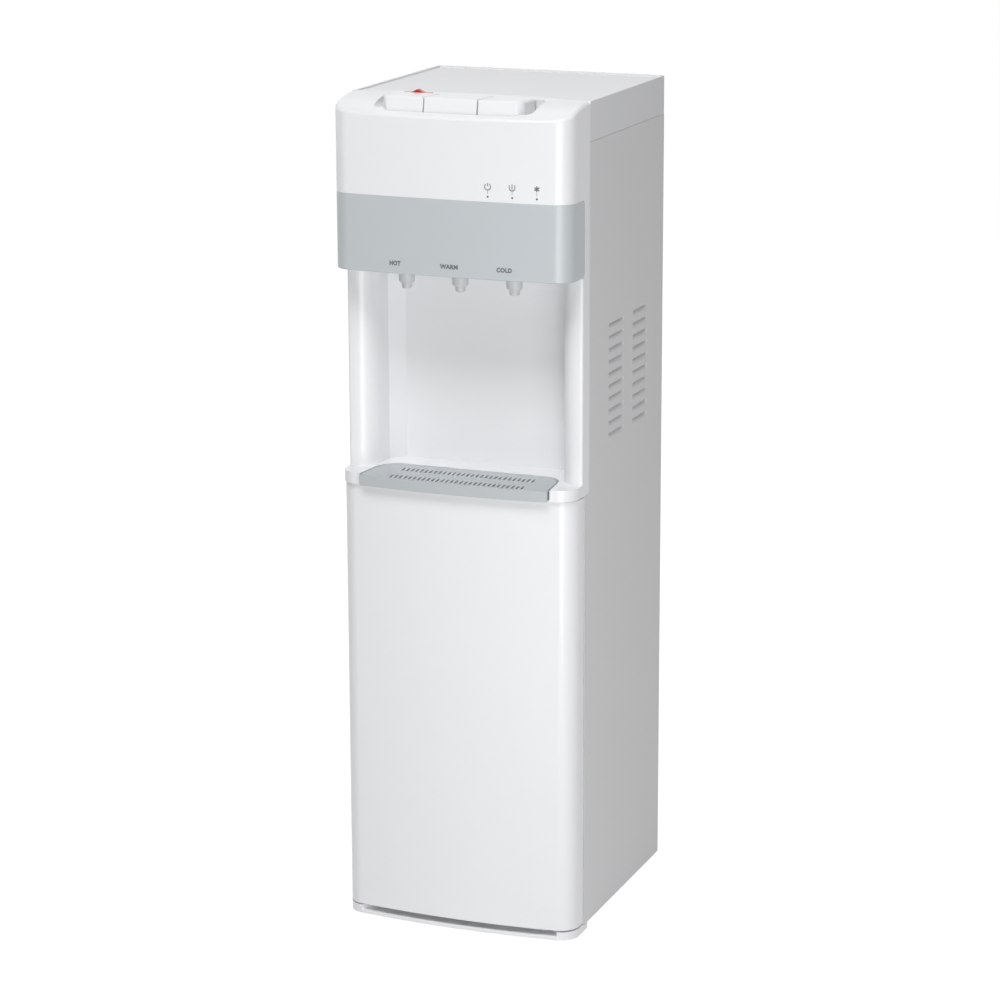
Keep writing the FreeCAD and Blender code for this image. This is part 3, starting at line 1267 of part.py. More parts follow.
def self_gap(path, wire, radius):
    """Least gap between parts of a wound wire that are over half a turn apart."""
    points = [edge.valueAt(edge.FirstParameter + (edge.LastParameter - edge.FirstParameter) * k / 4)
              for edge in path.Edges for k in range(4)]
    step = path.Length / len(points)
    apart = int(math.pi * radius / step)
    return min(a.distanceToPoint(b) for n, a in enumerate(points)
               for b in points[n + apart:]) - 2 * wire


def smooth_wire(points):
    """Wire of pairs of tangent arcs through the points of a helix."""
    edges = []
    for first, last in zip(points[:-1:2], points[2::2]):
        edges.extend(arc_pair(first, last))
    return Part.Wire(edges)


def helix_tangent(point, pitch_angle):
    """Unit tangent of a helix about Z at one of its points."""
    flat = FreeCAD.Vector(-point.y, point.x, 0).normalize()
    return flat.multiply(math.cos(pitch_angle)).add(FreeCAD.Vector(0, 0, math.sin(pitch_angle)))


def arc_pair(first, last):
    """Two arcs that leave and reach two helix points along the helix tangents."""
    rise = last.z - first.z
    radius = math.hypot(first.x, first.y)
    angle = math.atan2(rise, radius * math.pi / 2)
    start, end = helix_tangent(first, angle), helix_tangent(last, angle)
    chord = last.sub(first)
    total = start.add(end)
    a = 2 * (1 - start.dot(end))
    b = 2 * chord.dot(total)
    c = -chord.dot(chord)
    length = (-b + math.sqrt(b * b - 4 * a * c)) / (2 * a)
    near = first.add(FreeCAD.Vector(start).multiply(length))
    far = last.sub(FreeCAD.Vector(end).multiply(length))
    middle = near.add(far).multiply(0.5)
    return [tangent_arc(first, start, middle), tangent_arc(middle, far.sub(near), last)]


def tangent_arc(start, direction, end):
    """Arc from start, along a direction there, to end."""
    direction = FreeCAD.Vector(direction).normalize()
    chord = end.sub(start)
    normal = chord.sub(FreeCAD.Vector(direction).multiply(chord.dot(direction))).normalize()
    radius = chord.dot(chord) / (2 * chord.dot(normal))
    centre = start.add(FreeCAD.Vector(normal).multiply(radius))
    out = start.add(end).multiply(0.5).sub(centre).normalize()
    middle = centre.add(out.multiply(radius))
    return Part.Arc(start, middle, end).toShape()


def sweep(path, radius, bore=0):
    """Round tube along a wire, checked against its section and length."""
    start = path.Edges[0]
    at = start.valueAt(start.FirstParameter)
    along = start.tangentAt(start.FirstParameter)
    solids = []
    for size in (radius, bore):
        if size:
            ring = Part.Wire([Part.Edge(Part.Circle(at, along, size))])
            solids.append(path.makePipeShell([ring], True, False))
    shape = solids[0].cut(solids[1]) if bore else solids[0]
    shape = shape if shape.ShapeType == "Solid" else shape.Solids[0]
    expected = math.pi * (radius ** 2 - bore ** 2) * path.Length
    if abs(shape.Volume - expected) > 0.01 * expected:
        raise ValueError(f"tube volume {shape.Volume:.0f}, expected {expected:.0f}")
    return shape


def route(points, bend):
    """Wire of straight runs joined by arcs of one bend radius."""
    corners = [FreeCAD.Vector(*[value(v) for v in point]) for point in points]
    edges = []
    start = corners[0]
    for before, corner, after in zip(corners, corners[1:], corners[2:]):
        come = corner.sub(before).normalize()
        leave = after.sub(corner).normalize()
        angle = come.getAngle(leave)
        back = bend * math.tan(angle / 2)
        first = corner.sub(FreeCAD.Vector(come).multiply(back))
        last = corner.add(FreeCAD.Vector(leave).multiply(back))
        inward = leave.sub(come).normalize()
        reach = bend / math.cos(angle / 2) - bend
        middle = corner.add(inward.multiply(reach))
        if first.distanceToPoint(start) > 1e-6:
            edges.append(Part.LineSegment(start, first).toShape())
        edges.append(Part.Arc(first, middle, last).toShape())
        start = last
    edges.append(Part.LineSegment(start, corners[-1]).toShape())
    return Part.Wire(edges)


def tube(name, points, bend, radius, bore="0"):
    """Tube or hose along straight runs with rounded bends."""
    item = doc.addObject("Part::Feature", name)
    item.Label = name
    item.Shape = sweep(route(points, value(bend)), value(radius), value(bore))
    return item


def push_spring(name):
    """Return spring between the valve neck and the collar of the rod."""
    base = f"{NECK_TOP} + spring_wire + 0.1"
    pitch = "(spring_length - 2 * spring_wire - 0.2) / spring_turns"
    return coil(f"spring_{name}", f"{BUTTONS[name]} * tap_pitch", TAP_Y, "spring_radius",
                "spring_wire", pitch, int(value("spring_turns")), base)


def child_lock():
    """Sliding lock of the hot button: foot, stem, plate and finger hump."""
    half = "lock_half"
    plate = block("lock_plate", f"lock_x - {half}", f"lock_x + {half}", "lock_y - 4", "lock_y + 4",
                  f"{COVER_TOP} + 0.2", f"{COVER_TOP} + 1.2")
    stem = block("lock_stem", f"lock_x - {half}", f"lock_x + {half}", "lock_y - 1.7",
                 "lock_y + 1.7", f"{COVER_TOP} - 4.4", f"{COVER_TOP} + 0.5")
    foot = block("lock_foot", f"lock_x - {half}", f"lock_x + {half}", "lock_y - 4", "lock_y + 4",
                 f"{COVER_TOP} - 4.8", f"{COVER_TOP} - 2.8")
    hump = new_body("lock_hump")
    side = new_sketch(hump, "lock_hump_profile", "XZ_Plane", minus("lock_y + 3.4"))
    base = f"({COVER_TOP} + 1)"
    peak = f"({COVER_TOP} + lock_rise - 4 + sqrt(4^2 - 3^2))"
    add_outline(side, [
        ("lock_x - 10.5", base), ("lock_x + 10.5", base), ("lock_x + 7", f"{base} + 1"),
        ("lock_x + 3", peak, "4", "left"), ("lock_x - 3", peak), ("lock_x - 7", f"{base} + 1"),
    ])
    pad(hump, side, "6.8")
    return fuse("child_lock", [plate, stem, foot, hump])


def lamp_front(number):
    """Depth of the fascia surface at a lamp."""
    x = f"(lamp_first + {number} * lamp_pitch)"
    return x, f"({FRONT} + fascia_bow - sqrt(fascia_bow^2 - {x}^2))"


def indicator_lamps():
    """Three light pipes in the fascia."""
    lamps = []
    for number in range(3):
        x, y = lamp_front(number)
        lamps.append(rod(f"lamp_{number}", x, f"{y} + 0.05", "lamp_level", "lamp_radius",
                         f"{FRONT} + 9.2 - ({y} + 0.05)", "Y"))
    return group("indicator_lamps", lamps)


# Taps


def valve(name):
    """Tap valve: body with a cavity, guide neck, rear barb and outlet spigot."""
    x = f"({BUTTONS[name]} * tap_pitch)"
    body = turned(f"valve_{name}_body", x, TAP_Y, [
        ("2", f"{VALVE_LOW} - 14"), ("5", f"{VALVE_LOW} - 14"), ("5", VALVE_LOW), ("11", VALVE_LOW),
        ("11", f"{VALVE_LOW} + 54"), ("6", f"{VALVE_LOW} + 54"), ("6", NECK_TOP),
        ("2.5 + running_clearance", NECK_TOP), ("2.5 + running_clearance", f"{VALVE_LOW} + 50"),
        ("8", f"{VALVE_LOW} + 50"), ("8", f"{VALVE_LOW} + 4"), ("2", f"{VALVE_LOW} + 4"),
    ])
    barb = rod(f"valve_{name}_barb", x, f"{TAP_Y} + 9", f"{VALVE_LOW} + 16", "4.5", "25", "Y")
    bore = rod(f"valve_{name}_inlet", x, f"{TAP_Y} + 2", f"{VALVE_LOW} + 16", "3", "40", "Y")
    return cut(f"valve_{name}", fuse(f"valve_{name}_whole", [body, barb]), bore)


def nozzle(name):
    """Nozzle: flange on the panel floor, collar and outlet tip."""
    level = "(shelf_level + shelf_height + alcove_height)"
    return turned(f"nozzle_{name}", f"{BUTTONS[name]} * tap_pitch", TAP_Y, [
        ("3", f"{level} - 24"), ("5.2", f"{level} - 24"), ("6.2", f"{level} - 23"),
        ("6.2", f"{level} - 17"), ("nozzle_collar - 2", f"{level} - 17"),
        ("nozzle_collar - 0.6", f"{level} - 15"), ("nozzle_collar", f"{level} - 1"),
        ("nozzle_collar", f"{level} + 3.1"), ("nozzle_collar + 2.7", f"{level} + 3.1"),
        ("nozzle_collar + 2.7", f"{level} + 5.1"),
        ("5.15", f"{level} + 5.1"), ("5.15", f"{level} - 9"), ("3", f"{level} - 9"),
    ])


# Tanks and shelves


def shelf(name, level, half, holes):
    """Sheet shelf across the cabinet with turned-down side flanges and round holes."""
    body = new_body(name)
    plan = new_sketch(body, f"{name}_plan", offset=level)
    front = f"({ALCOVE_REAR} + 5)"
    rear = f"({BACK_WEB} - 0.5)"
    add_rectangle(plan, minus(half), half, front, rear)
    pad(body, plan, "shelf_sheet")
    flange = new_sketch(body, f"{name}_flange_plan", offset=level)
    for sign in (1, -1):
        near, far = side_of_x(sign, half), side_of_x(sign, f"{half} - shelf_sheet")
        low, high = (far, near) if sign > 0 else (near, far)
        add_rectangle(flange, low, high, front, rear)
    pad(body, flange, "shelf_flange", downward=True)
    cuts = new_sketch(body, f"{name}_hole_plan", offset=f"{level} + shelf_sheet + 1")
    for x, y, radius in holes:
        add_circle(cuts, x, y, radius)
    pocket(body, cuts, "shelf_sheet + 2")
    return body


def tank(name, x, radius, low, high, wall):
    """Closed pressed tank with bevelled ends."""
    return turned(name, x, TANK_Y, [
        ("0", low), (f"{radius} - 3", low), (radius, f"{low} + 3"), (radius, f"{high} - 3"),
        (f"{radius} - 3", high), ("0", high), ("0", f"{high} - {wall}"),
        (f"{radius} - 3 - {wall} / 2", f"{high} - {wall}"),
        (f"{radius} - {wall}", f"{high} - 3 - {wall} / 2"),
        (f"{radius} - {wall}", f"{low} + 3 + {wall} / 2"),
        (f"{radius} - 3 - {wall} / 2", f"{low} + {wall}"), ("0", f"{low} + {wall}"),
    ])


HOSE_LEVEL = f"({VALVE_LOW} + 16)"
FOAM_LOW = "(tank_shelf_level + shelf_sheet + gap)"
TANK_LOW = "(tank_shelf_level + 23)"
COLD_X = "tap_pitch"
HOT_X = "-tap_pitch"


def insulation(name, x, outer, inner, tank_top, tools):
    """Foam jacket around a tank, with holes for what reaches it."""
    foam = rod(f"{name}_foam", x, TANK_Y, FOAM_LOW, outer, f"{tank_top} + 17 - {FOAM_LOW}")
    room = rod(f"{name}_room", x, TANK_Y, f"{TANK_LOW} - gap", inner,
               f"{tank_top} + gap - {TANK_LOW} + gap")
    return cut(name, foam, fuse(f"{name}_cuts", [room] + tools))


def cold_insulation():
    """Jacket of the cold tank and its evaporator."""
    reach = "(cold_foam + 10)"
    tools = [
        rod("cold_foam_hose", COLD_X, f"{TANK_Y} - {reach}", HOSE_LEVEL, "hose_radius + gap",
            reach, "Y"),
        rod("cold_foam_drain", COLD_X, TANK_Y, DRAIN_LEVEL, "drain_radius + gap", reach, "Y"),
        rod("cold_foam_suction", "suction_x", TANK_Y, f"{FOAM_LOW} - 1", "evaporator_tube + gap",
            "40"),
        rod("cold_foam_feed", COLD_X, TANK_Y, f"{FOAM_LOW} - 1", "hose_radius + gap", "40"),
        rod("cold_foam_capillary", "capillary_x", TANK_Y, "capillary_level",
            "capillary_radius + gap", reach, "Y"),
    ]
    slant = doc.addObject("Part::Cylinder", "cold_foam_warm")
    bind(slant, "Radius", "hose_radius + gap")
    bind(slant, "Height", "cold_foam + 20")
    turn = FreeCAD.Rotation(FreeCAD.Vector(0, 0, 1), FreeCAD.Vector(-1, -1, 0))
    slant.Placement = FreeCAD.Placement(FreeCAD.Vector(), turn)
    place(slant, COLD_X, TANK_Y, HOSE_LEVEL)
    return insulation("cold_tank_insulation", COLD_X, "cold_foam", "evaporator_radius + 4",
                      "cold_tank_top", tools + [slant])


def hot_insulation():
    """Jacket of the hot tank and its heater."""
    reach = "(hot_foam + 10)"
    tools = [
        rod("hot_foam_hose", HOT_X, f"{TANK_Y} - {reach}", HOSE_LEVEL, "hose_radius + gap", reach,
            "Y"),
        rod("hot_foam_drain", HOT_X, TANK_Y, DRAIN_LEVEL, "drain_radius + gap", reach, "Y"),
        rod("hot_foam_feed", HOT_X, TANK_Y, f"{FOAM_LOW} - 1", "hose_radius + gap", "40"),
    ]
    return insulation("hot_tank_insulation", HOT_X, "hot_foam", "hot_tank_radius + 4",
                      "hot_tank_top", tools)


def heater_band():
    """Band heater round the hot tank, with two terminals."""
    low = f"({TANK_LOW} + heater_rise)"
    inside = "(hot_tank_radius + 0.2)"
    outer = rod("heater_outer", HOT_X, TANK_Y, low, f"{inside} + heater_thickness", "heater_height")
    inner = rod("heater_inner", HOT_X, TANK_Y, f"{low} - 1", inside, "heater_height + 2")
    return cut("heater_band", outer, inner)


def evaporator_coil():
    """Refrigerant tube wound round the cold tank."""
    return coil("evaporator_coil", COLD_X, TANK_Y, "evaporator_radius", "evaporator_tube",
                "evaporator_pitch", int(value("evaporator_turns")), COIL_LOW)


COIL_LOW = f"({DRAIN_LEVEL} + drain_radius + evaporator_tube + 1)"
COIL_HIGH = f"({COIL_LOW} + evaporator_turns * evaporator_pitch)"


def tap_hoses():
    """Hoses from the tanks to the valves; the warm one leaves the cold tank at its side."""
    barb = f"{TAP_Y} + 11.5"
    cold = tube("hose_to_cold", [(COLD_X, barb, HOSE_LEVEL),
                                 (COLD_X, f"{TANK_Y} - cold_tank_radius - gap", HOSE_LEVEL)],
                "20", "hose_radius", "hose_bore")
    hot = tube("hose_to_hot", [(HOT_X, barb, HOSE_LEVEL),
                               (HOT_X, f"{TANK_Y} - hot_tank_radius - gap", HOSE_LEVEL)],
               "20", "hose_radius", "hose_bore")
    corner = f"{TANK_Y} - tap_pitch"
    reach = "(tap_pitch - (cold_tank_radius + 4) * sqrt(0.5))"
    warm = tube("hose_to_warm", [("0", barb, HOSE_LEVEL), ("0", corner, HOSE_LEVEL),
                                 (reach, f"{corner} + {reach}", HOSE_LEVEL)],
                "20", "hose_radius", "hose_bore")
    return [cold, hot, warm]


def hose_clips():
    """Spring clips over the hoses at the valve barbs."""
    clips = []
    for name, sign in BUTTONS.items():
        x = f"{sign} * tap_pitch"
        outer = rod(f"clip_{name}_outer", x, f"{TAP_Y} + 20", HOSE_LEVEL, "hose_radius + 1", "6",
                    "Y")
        inner = rod(f"clip_{name}_inner", x, f"{TAP_Y} + 19", HOSE_LEVEL, "hose_radius + 0.05",
                    "8", "Y")
        ring = cut(f"clip_{name}_ring", outer, inner)
        lug = block(f"clip_{name}_lug", f"{x} - 2", f"{x} + 2", f"{TAP_Y} + 21", f"{TAP_Y} + 25",
                    f"{HOSE_LEVEL} + hose_radius + 0.6", f"{HOSE_LEVEL} + hose_radius + 5")
        clips.append(fuse(f"clip_{name}", [ring, lug]))
    return group("hose_clips", clips)


# Refrigeration


COMPRESSOR_LOW = "(deck_level + shelf_sheet + grommet_height)"


def compressor():
    """Sealed compressor with its mounting plate."""
    low = f"({COMPRESSOR_LOW} + plate_thickness)"
    wall = f"({low} + compressor_chamfer)"
    shoulder = f"({wall} + compressor_wall)"
    dome = f"({shoulder} + compressor_shoulder)"
    crown = f"({dome} + compressor_dome)"
    shell = turned("compressor_shell", "compressor_x", "compressor_y", [
        ("0", low), ("compressor_base", low), ("compressor_radius", wall),
        ("compressor_radius", shoulder), ("compressor_neck", dome), ("compressor_crown", crown),
        ("0", f"{crown} + compressor_cap"),
    ])
    plate = block("compressor_plate", "compressor_x - plate_half_x", "compressor_x + plate_half_x",
                  "compressor_y - plate_half_y", "compressor_y + plate_half_y", COMPRESSOR_LOW,
                  f"{low} + 0.5")
    holes = [rod(f"compressor_plate_hole_{tag}", f"compressor_x {sx} grommet_x",
                 f"compressor_y {sy} grommet_y", f"{COMPRESSOR_LOW} - 1", "5.2", "8")
             for tag, sx, sy in GROMMETS]
    return cut("compressor", fuse("compressor_whole", [shell, plate]),
               fuse("compressor_plate_holes", holes))


GROMMETS = [("a", "+", "+"), ("b", "+", "-"), ("c", "-", "+"), ("d", "-", "-")]


def compressor_grommets():
    """Four rubber grommets under the compressor plate."""
    feet = []
    for tag, sx, sy in GROMMETS:
        feet.append(turned(f"grommet_{tag}", f"compressor_x {sx} grommet_x",
                           f"compressor_y {sy} grommet_y", [
            ("0", "deck_level + shelf_sheet + 0.02"), ("10", "deck_level + shelf_sheet + 0.02"),
            ("10", f"{COMPRESSOR_LOW} - 0.05"), ("5", f"{COMPRESSOR_LOW} - 0.05"),
            ("5", f"{COMPRESSOR_LOW} + 5"), ("0", f"{COMPRESSOR_LOW} + 5"),
        ]))
    return group("compressor_grommets", feet)


def start_relay():
    """Starting relay on the left side of the compressor."""
    edge = "(compressor_x - compressor_radius - gap)"
    low = f"({COMPRESSOR_LOW} + 45)"
    case = block("relay_case", f"{edge} - 16", edge, "compressor_y - 15", "compressor_y + 15",
                 low, f"{low} + 45")
    tab = block("relay_tab", f"{edge} - 20", f"{edge} - 15", "compressor_y - 4",
                "compressor_y + 4", f"{low} + 30", f"{low} + 40")
    return fuse("start_relay", [case, tab])


CONDENSER_Y = f"({REAR} - condenser_inset)"


def condenser_coil():
    """Serpentine tube on the back, from the compressor to the drier."""
    points = [("compressor_x", "compressor_y + compressor_radius + gap", "condenser_top"),
              ("compressor_x", CONDENSER_Y, "condenser_top")]
    runs = int(value("condenser_runs"))
    for number in range(runs):
        level = f"condenser_top - {number} * condenser_pitch"
        points.append(("condenser_left" if number % 2 == 0 else "condenser_right",
                       CONDENSER_Y, level))
        following = f"condenser_top - {number + 1} * condenser_pitch"
        if number < runs - 1:
            points.append((points[-1][0], CONDENSER_Y, following))
    points[-1] = ("drier_x", CONDENSER_Y, level)
    points.append(("drier_x", CONDENSER_Y, "drier_level - gap"))
    return tube("condenser_tube_run", points, "12", "condenser_tube")


def condenser():
    """Serpentine tube with its wires."""
    return group("condenser", [condenser_coil()] + condenser_wires())


def condenser_wires():
    """Steel wires on both faces of the serpentine."""
    low = "(condenser_top - (condenser_runs - 1) * condenser_pitch - 15)"
    wires = []
    offset = "(condenser_tube + wire_radius + 0.02)"
    for side, y in (("rear", f"{CONDENSER_Y} + {offset}"), ("front", f"{CONDENSER_Y} - {offset}")):
        for number in range(int(value("wire_count"))):
            wires.append(rod(f"wire_{side}_{number}", f"wire_first + {number} * wire_pitch", y, low,
                             "wire_radius", f"condenser_top + 12 - {low}"))
    return wires


def condenser_brackets():
    """Spacers that hold the condenser off the back panel."""
    spacers = []
    for row in (1, 10):
        for tag, x in (("left", "wire_first - 9"), ("right", "wire_first + 160")):
            level = f"(condenser_top - {row} * condenser_pitch)"
            spacers.append(block(f"bracket_{tag}_{row}", f"{x} - 3", f"{x} + 3",
                                 f"{BACK_WEB} + steel + 0.02",
                                 f"{CONDENSER_Y} - condenser_tube - 0.02",
                                 f"{level} - 4", f"{level} + 4"))
    return group("condenser_brackets", spacers)


def filter_drier():
    """Copper drier between the condenser and the capillary."""
    low = "drier_level"
    high = f"({low} + drier_length)"
    return turned("filter_drier", "drier_x", CONDENSER_Y, [
        ("0", low), ("drier_radius / 2", low), ("drier_radius", f"{low} + drier_inlet_cone"),
        ("drier_radius", f"{high} - drier_outlet_cone"), ("drier_radius - 3", high), ("0", high),
    ])


def refrigerant_pipes():
    """Suction pipe to the compressor and capillary from the drier."""
    top = f"({COIL_LOW} - evaporator_tube - 0.1)"
    suction = tube("suction_pipe", [("suction_x", TANK_Y, f"{COMPRESSOR_LOW} + 130"),
                                    ("suction_x", TANK_Y, top)], "10", "evaporator_tube")
    start = f"({COIL_HIGH} + evaporator_tube + 0.1)"
    capillary = tube("capillary", [("capillary_x", TANK_Y, start),
                                   ("capillary_x", TANK_Y, "capillary_level"),
                                   ("capillary_x", CONDENSER_Y, "capillary_level"),
                                   ("capillary_x", CONDENSER_Y, "drier_level + drier_length + 0.1")],
                     "8", "capillary_radius")
    return group("refrigerant_pipes", [suction, capillary])


# Water


PUMP_Y = "tank_y"
PUMP_LOW = "(deck_level + shelf_sheet + 9)"


def water_pump():
    """Diaphragm pump: head, motor and base, with an outlet barb on top."""
    half = "pump_half"
    head = block("pump_head", f"{HOT_X} - {half}", f"{HOT_X} + {half}", f"{PUMP_Y} - {half}",
                 f"{PUMP_Y} + {half}", PUMP_LOW, f"{PUMP_LOW} + 36")
    motor = rod("pump_motor", HOT_X, f"{PUMP_Y} + {half} - 1", f"{PUMP_LOW} + 21", "20", "60", "Y")
    base = block("pump_base", f"{HOT_X} - 20", f"{HOT_X} + 20", f"{PUMP_Y} - {half} + 4",
                 f"{PUMP_Y} + {half} + 40", "deck_level + shelf_sheet + 0.02", f"{PUMP_LOW} + 3")
    outlet = rod("pump_outlet", HOT_X, PUMP_Y, f"{PUMP_LOW} + 35", "4.5", "13")
    inlet = rod("pump_inlet", HOT_X, f"{PUMP_Y} - {half} - 12", f"{PUMP_LOW} + 18", "4.5", "13",
                "Y")
    return fuse("water_pump", [head, motor, base, outlet, inlet])


def riser_hoses():
    """Hose from the pump up to the hot tank, with a branch to the cold tank."""
    riser = tube("riser_hot", [(HOT_X, PUMP_Y, f"{PUMP_LOW} + 36.2"),
                               (HOT_X, PUMP_Y, f"{TANK_LOW} - gap")], "15", "hose_radius",
                 "hose_bore")
    level = "(tank_shelf_level - 11)"
    branch = tube("riser_cold", [(f"{HOT_X} + hose_radius - 0.5", PUMP_Y, level),
                                 (COLD_X, PUMP_Y, level),
                                 (COLD_X, PUMP_Y, f"{TANK_LOW} - gap")], "12", "hose_radius",
                  "hose_bore")
    return fuse("riser_hoses", [riser, branch])


def water_hoses():
    """All the fixed hoses of the water circuit."""
    return group("water_hoses", tap_hoses() + [riser_hoses(), suction_hose()])


PROBE_TOP = "(probe_level + 30)"


def suction_probe():
    """Probe that goes into the bottle: cap, straw and hose barb."""
    return turned("suction_probe", "probe_x", "probe_y", [
        ("0", "probe_foot"), ("5", "probe_foot"), ("7", "probe_foot + 6"), ("7", "probe_level"),
        ("22", "probe_level"), ("24", "probe_level + 3"), ("24", "probe_level + 22"),
        ("20", "probe_level + 26"), ("4.5", "probe_level + 26"), ("4.5", PROBE_TOP), ("0", PROBE_TOP),
    ])


def probe_holder():
    """Bracket on the back panel that the probe hangs in."""
    plate = block("holder_plate", "probe_x - 24", "probe_x + 24", "probe_y - 24",
                  f"{BACK_WEB} - 0.02", "probe_level - 4", "probe_level - 0.1")
    wall = block("holder_wall", "probe_x - 24", "probe_x + 24", f"{BACK_WEB} - 3",
                 f"{BACK_WEB} - 0.02", "probe_level - 30", "probe_level - 2")
    hole = rod("holder_hole", "probe_x", "probe_y", "probe_level - 40", "8.5", "50")
    return cut("probe_holder", fuse("holder_whole", [plate, wall]), hole)


def suction_drop():
    """Straight hose from the probe cap up to the deck."""
    return tube("suction_drop", [("probe_x", "probe_y", f"{PROBE_TOP} + 0.1"),
                                 ("probe_x", "probe_y", "deck_level - 0.1")], "10", "5", "3.5")


def suction_hose():
    """Hose above the deck, from the drop to the pump inlet."""
    level = f"({PUMP_LOW} + 18)"
    return tube("suction_hose", [("probe_x", "probe_y", "deck_level + 0.1"),
                                 ("probe_x", "probe_y", level), ("probe_x", "-5", level),
                                 (HOT_X, "-5", level),
                                 (HOT_X, f"{PUMP_Y} - pump_half - 0.2", level)],
                "14", "hose_radius", "hose_bore")


# Rear fittings


def switch_housings():
    """Housings of the two rocker switches, snapped into the back panel."""
    cases = []
    face = f"({BACK_WEB} + steel)"
    for name, x in SWITCH_X.items():
        bezel = block(f"switch_{name}_bezel", f"{x} - 8.5", f"{x} + 8.5", f"{face} + 0.05",
                      f"{face} + 2", f"{SWITCH_LEVEL} - 11.5", f"{SWITCH_LEVEL} + 11.5")
        case = block(f"switch_{name}_case", f"{x} - 7", f"{x} + 7", f"{face} - 18", f"{face} + 1",
                     f"{SWITCH_LEVEL} - 9.5", f"{SWITCH_LEVEL} + 9.5")
        room = block(f"switch_{name}_room", f"{x} - 6", f"{x} + 6", f"{face} - 8", f"{face} + 3",
                     f"{SWITCH_LEVEL} - 8.8", f"{SWITCH_LEVEL} + 8.8")
        bore = rod(f"switch_{name}_axle_bore", f"{x} - 8", f"{face} - rocker_drop", SWITCH_LEVEL,
                   "rocker_axle + running_clearance", "16", "X")
        cases.append(cut(f"switch_{name}_housing", fuse(f"switch_{name}_solid", [bezel, case]),
                         fuse(f"switch_{name}_cuts", [room, bore])))
    return group("switch_housings", cases)


def rocker(name):
    """Rocker of a switch, drawn about its pivot and resting with its lower end pressed in."""
    body = new_body(f"rocker_switch_{name}")
    side = new_sketch(body, f"rocker_{name}_profile", "YZ_Plane", "-5.7")
    add_outline(side, [("-1.5", "-7.6"), ("5.5", "-7.6"), ("3.2", "0"), ("5.5", "7.6"),
                       ("-1.5", "7.6")])
    pad(body, side, "11.4")
    axle = new_sketch(body, f"rocker_{name}_axle_plan", "YZ_Plane", "-6.6")
    add_circle(axle, "0", "0", "rocker_axle")
    pad(body, axle, "13.2")
    body.Placement = FreeCAD.Placement(FreeCAD.Vector(),
                                       FreeCAD.Rotation(FreeCAD.Vector(1, 0, 0), -10))
    place(body, SWITCH_X[name], f"{BACK_WEB} + steel - rocker_drop", SWITCH_LEVEL)
    return body


def cord_gland():
    """Gland for the supply cord, clamped through the back panel."""
    face = f"({BACK_WEB} + steel)"
    def disc(name, start, radius, end):
        return rod(name, "gland_x", start, "gland_level", radius, f"{end} - ({start})", "Y")
    body = fuse("gland_body", [
        disc("gland_flange", f"{face} + 0.05", "gland_bore + 5", f"{face} + 4"),
        disc("gland_nose", f"{face} + 3.5", "gland_bore + 3", f"{face} + 11"),
        disc("gland_neck", f"{face} - 2", "gland_bore + 2.4", f"{face} + 1"),
        disc("gland_nut", f"{face} - 7", "gland_bore + 5", f"{face} - steel - 0.05"),
    ])
    return cut("cord_gland", body, disc("gland_hole", f"{face} - 10", "gland_bore", f"{face} + 15"))


def drain_pipe(name, x, radius):
    """Drain pipe from a tank to the back."""
    item = tube(name, [(x, f"{TANK_Y} + {radius} + 0.1", DRAIN_LEVEL),
                       (x, f"{REAR} - 7", DRAIN_LEVEL)], "10", "drain_radius", "drain_radius - 1.2")
    return item


def drain_pipes():
    """Drain pipes of both tanks."""
    return group("drain_pipes", [drain_pipe("drain_pipe_hot", HOT_X, "hot_tank_radius"),
                                 drain_pipe("drain_pipe_cold", COLD_X, "cold_tank_radius")])


def drain_cap(name, x):
    """Push-on cap of a drain pipe."""
    start = f"({REAR} - 18)"
    body = rod(f"drain_cap_{name}_body", x, start, DRAIN_LEVEL, "drain_radius + 5", "15.5", "Y")
    bore = rod(f"drain_cap_{name}_bore", x, f"{start} - 1", DRAIN_LEVEL,
               "drain_radius + running_clearance", "12.5", "Y")
    return cut(f"drain_cap_{name}", body, bore)


def all_parts():
    """Every node of the dispenser."""
    deck_holes = [("probe_x", "probe_y", "hose_radius + 1")]
    tank_holes = [(HOT_X, TANK_Y, "hose_radius + 1"), (COLD_X, TANK_Y, "hose_radius + 1"),
                  ("suction_x", TANK_Y, "evaporator_tube + 1")]
    parts = [
        base_pan(), rubber_feet(), side_panel("side_panel_right", 1),
        side_panel("side_panel_left", -1), panel_screws(), back_panel(), top_cover(),
        upper_fascia(), tap_panel(), alcove_panel(), drip_tray(), drip_grille(), door_skin(),
        door_inner_panel(), hinge_pins(), door_magnet(), strike_plate(), button_shaft(),
        button_carrier(), child_lock(), indicator_lamps(),
        shelf("deck_shelf", "deck_level", f"({HALF} - steel - 0.8)", deck_holes),
        shelf("tank_shelf", "tank_shelf_level", f"({HALF} - steel - louvre_dip - 0.8)", tank_holes),
        tank("cold_tank", COLD_X, "cold_tank_radius", TANK_LOW, "cold_tank_top", "1"),
        tank("hot_tank", HOT_X, "hot_tank_radius", TANK_LOW, "hot_tank_top", "1"),
        cold_insulation(), hot_insulation(), heater_band(), evaporator_coil(), water_hoses(),
        hose_clips(), compressor(), compressor_grommets(), start_relay(), condenser(),
        condenser_brackets(), filter_drier(), refrigerant_pipes(), water_pump(),
        suction_probe(), probe_holder(), suction_drop(), switch_housings(), rocker("hot"),
        rocker("cold"), cord_gland(), drain_pipes(), drain_cap("hot", HOT_X),
        drain_cap("cold", COLD_X), group("tap_valves", [valve(name) for name in BUTTONS]),
        group("nozzles", [nozzle(name) for name in BUTTONS]),
    ]
    for name in BUTTONS:
        parts += [button(name), push_rod(name), push_spring(name)]
    return parts


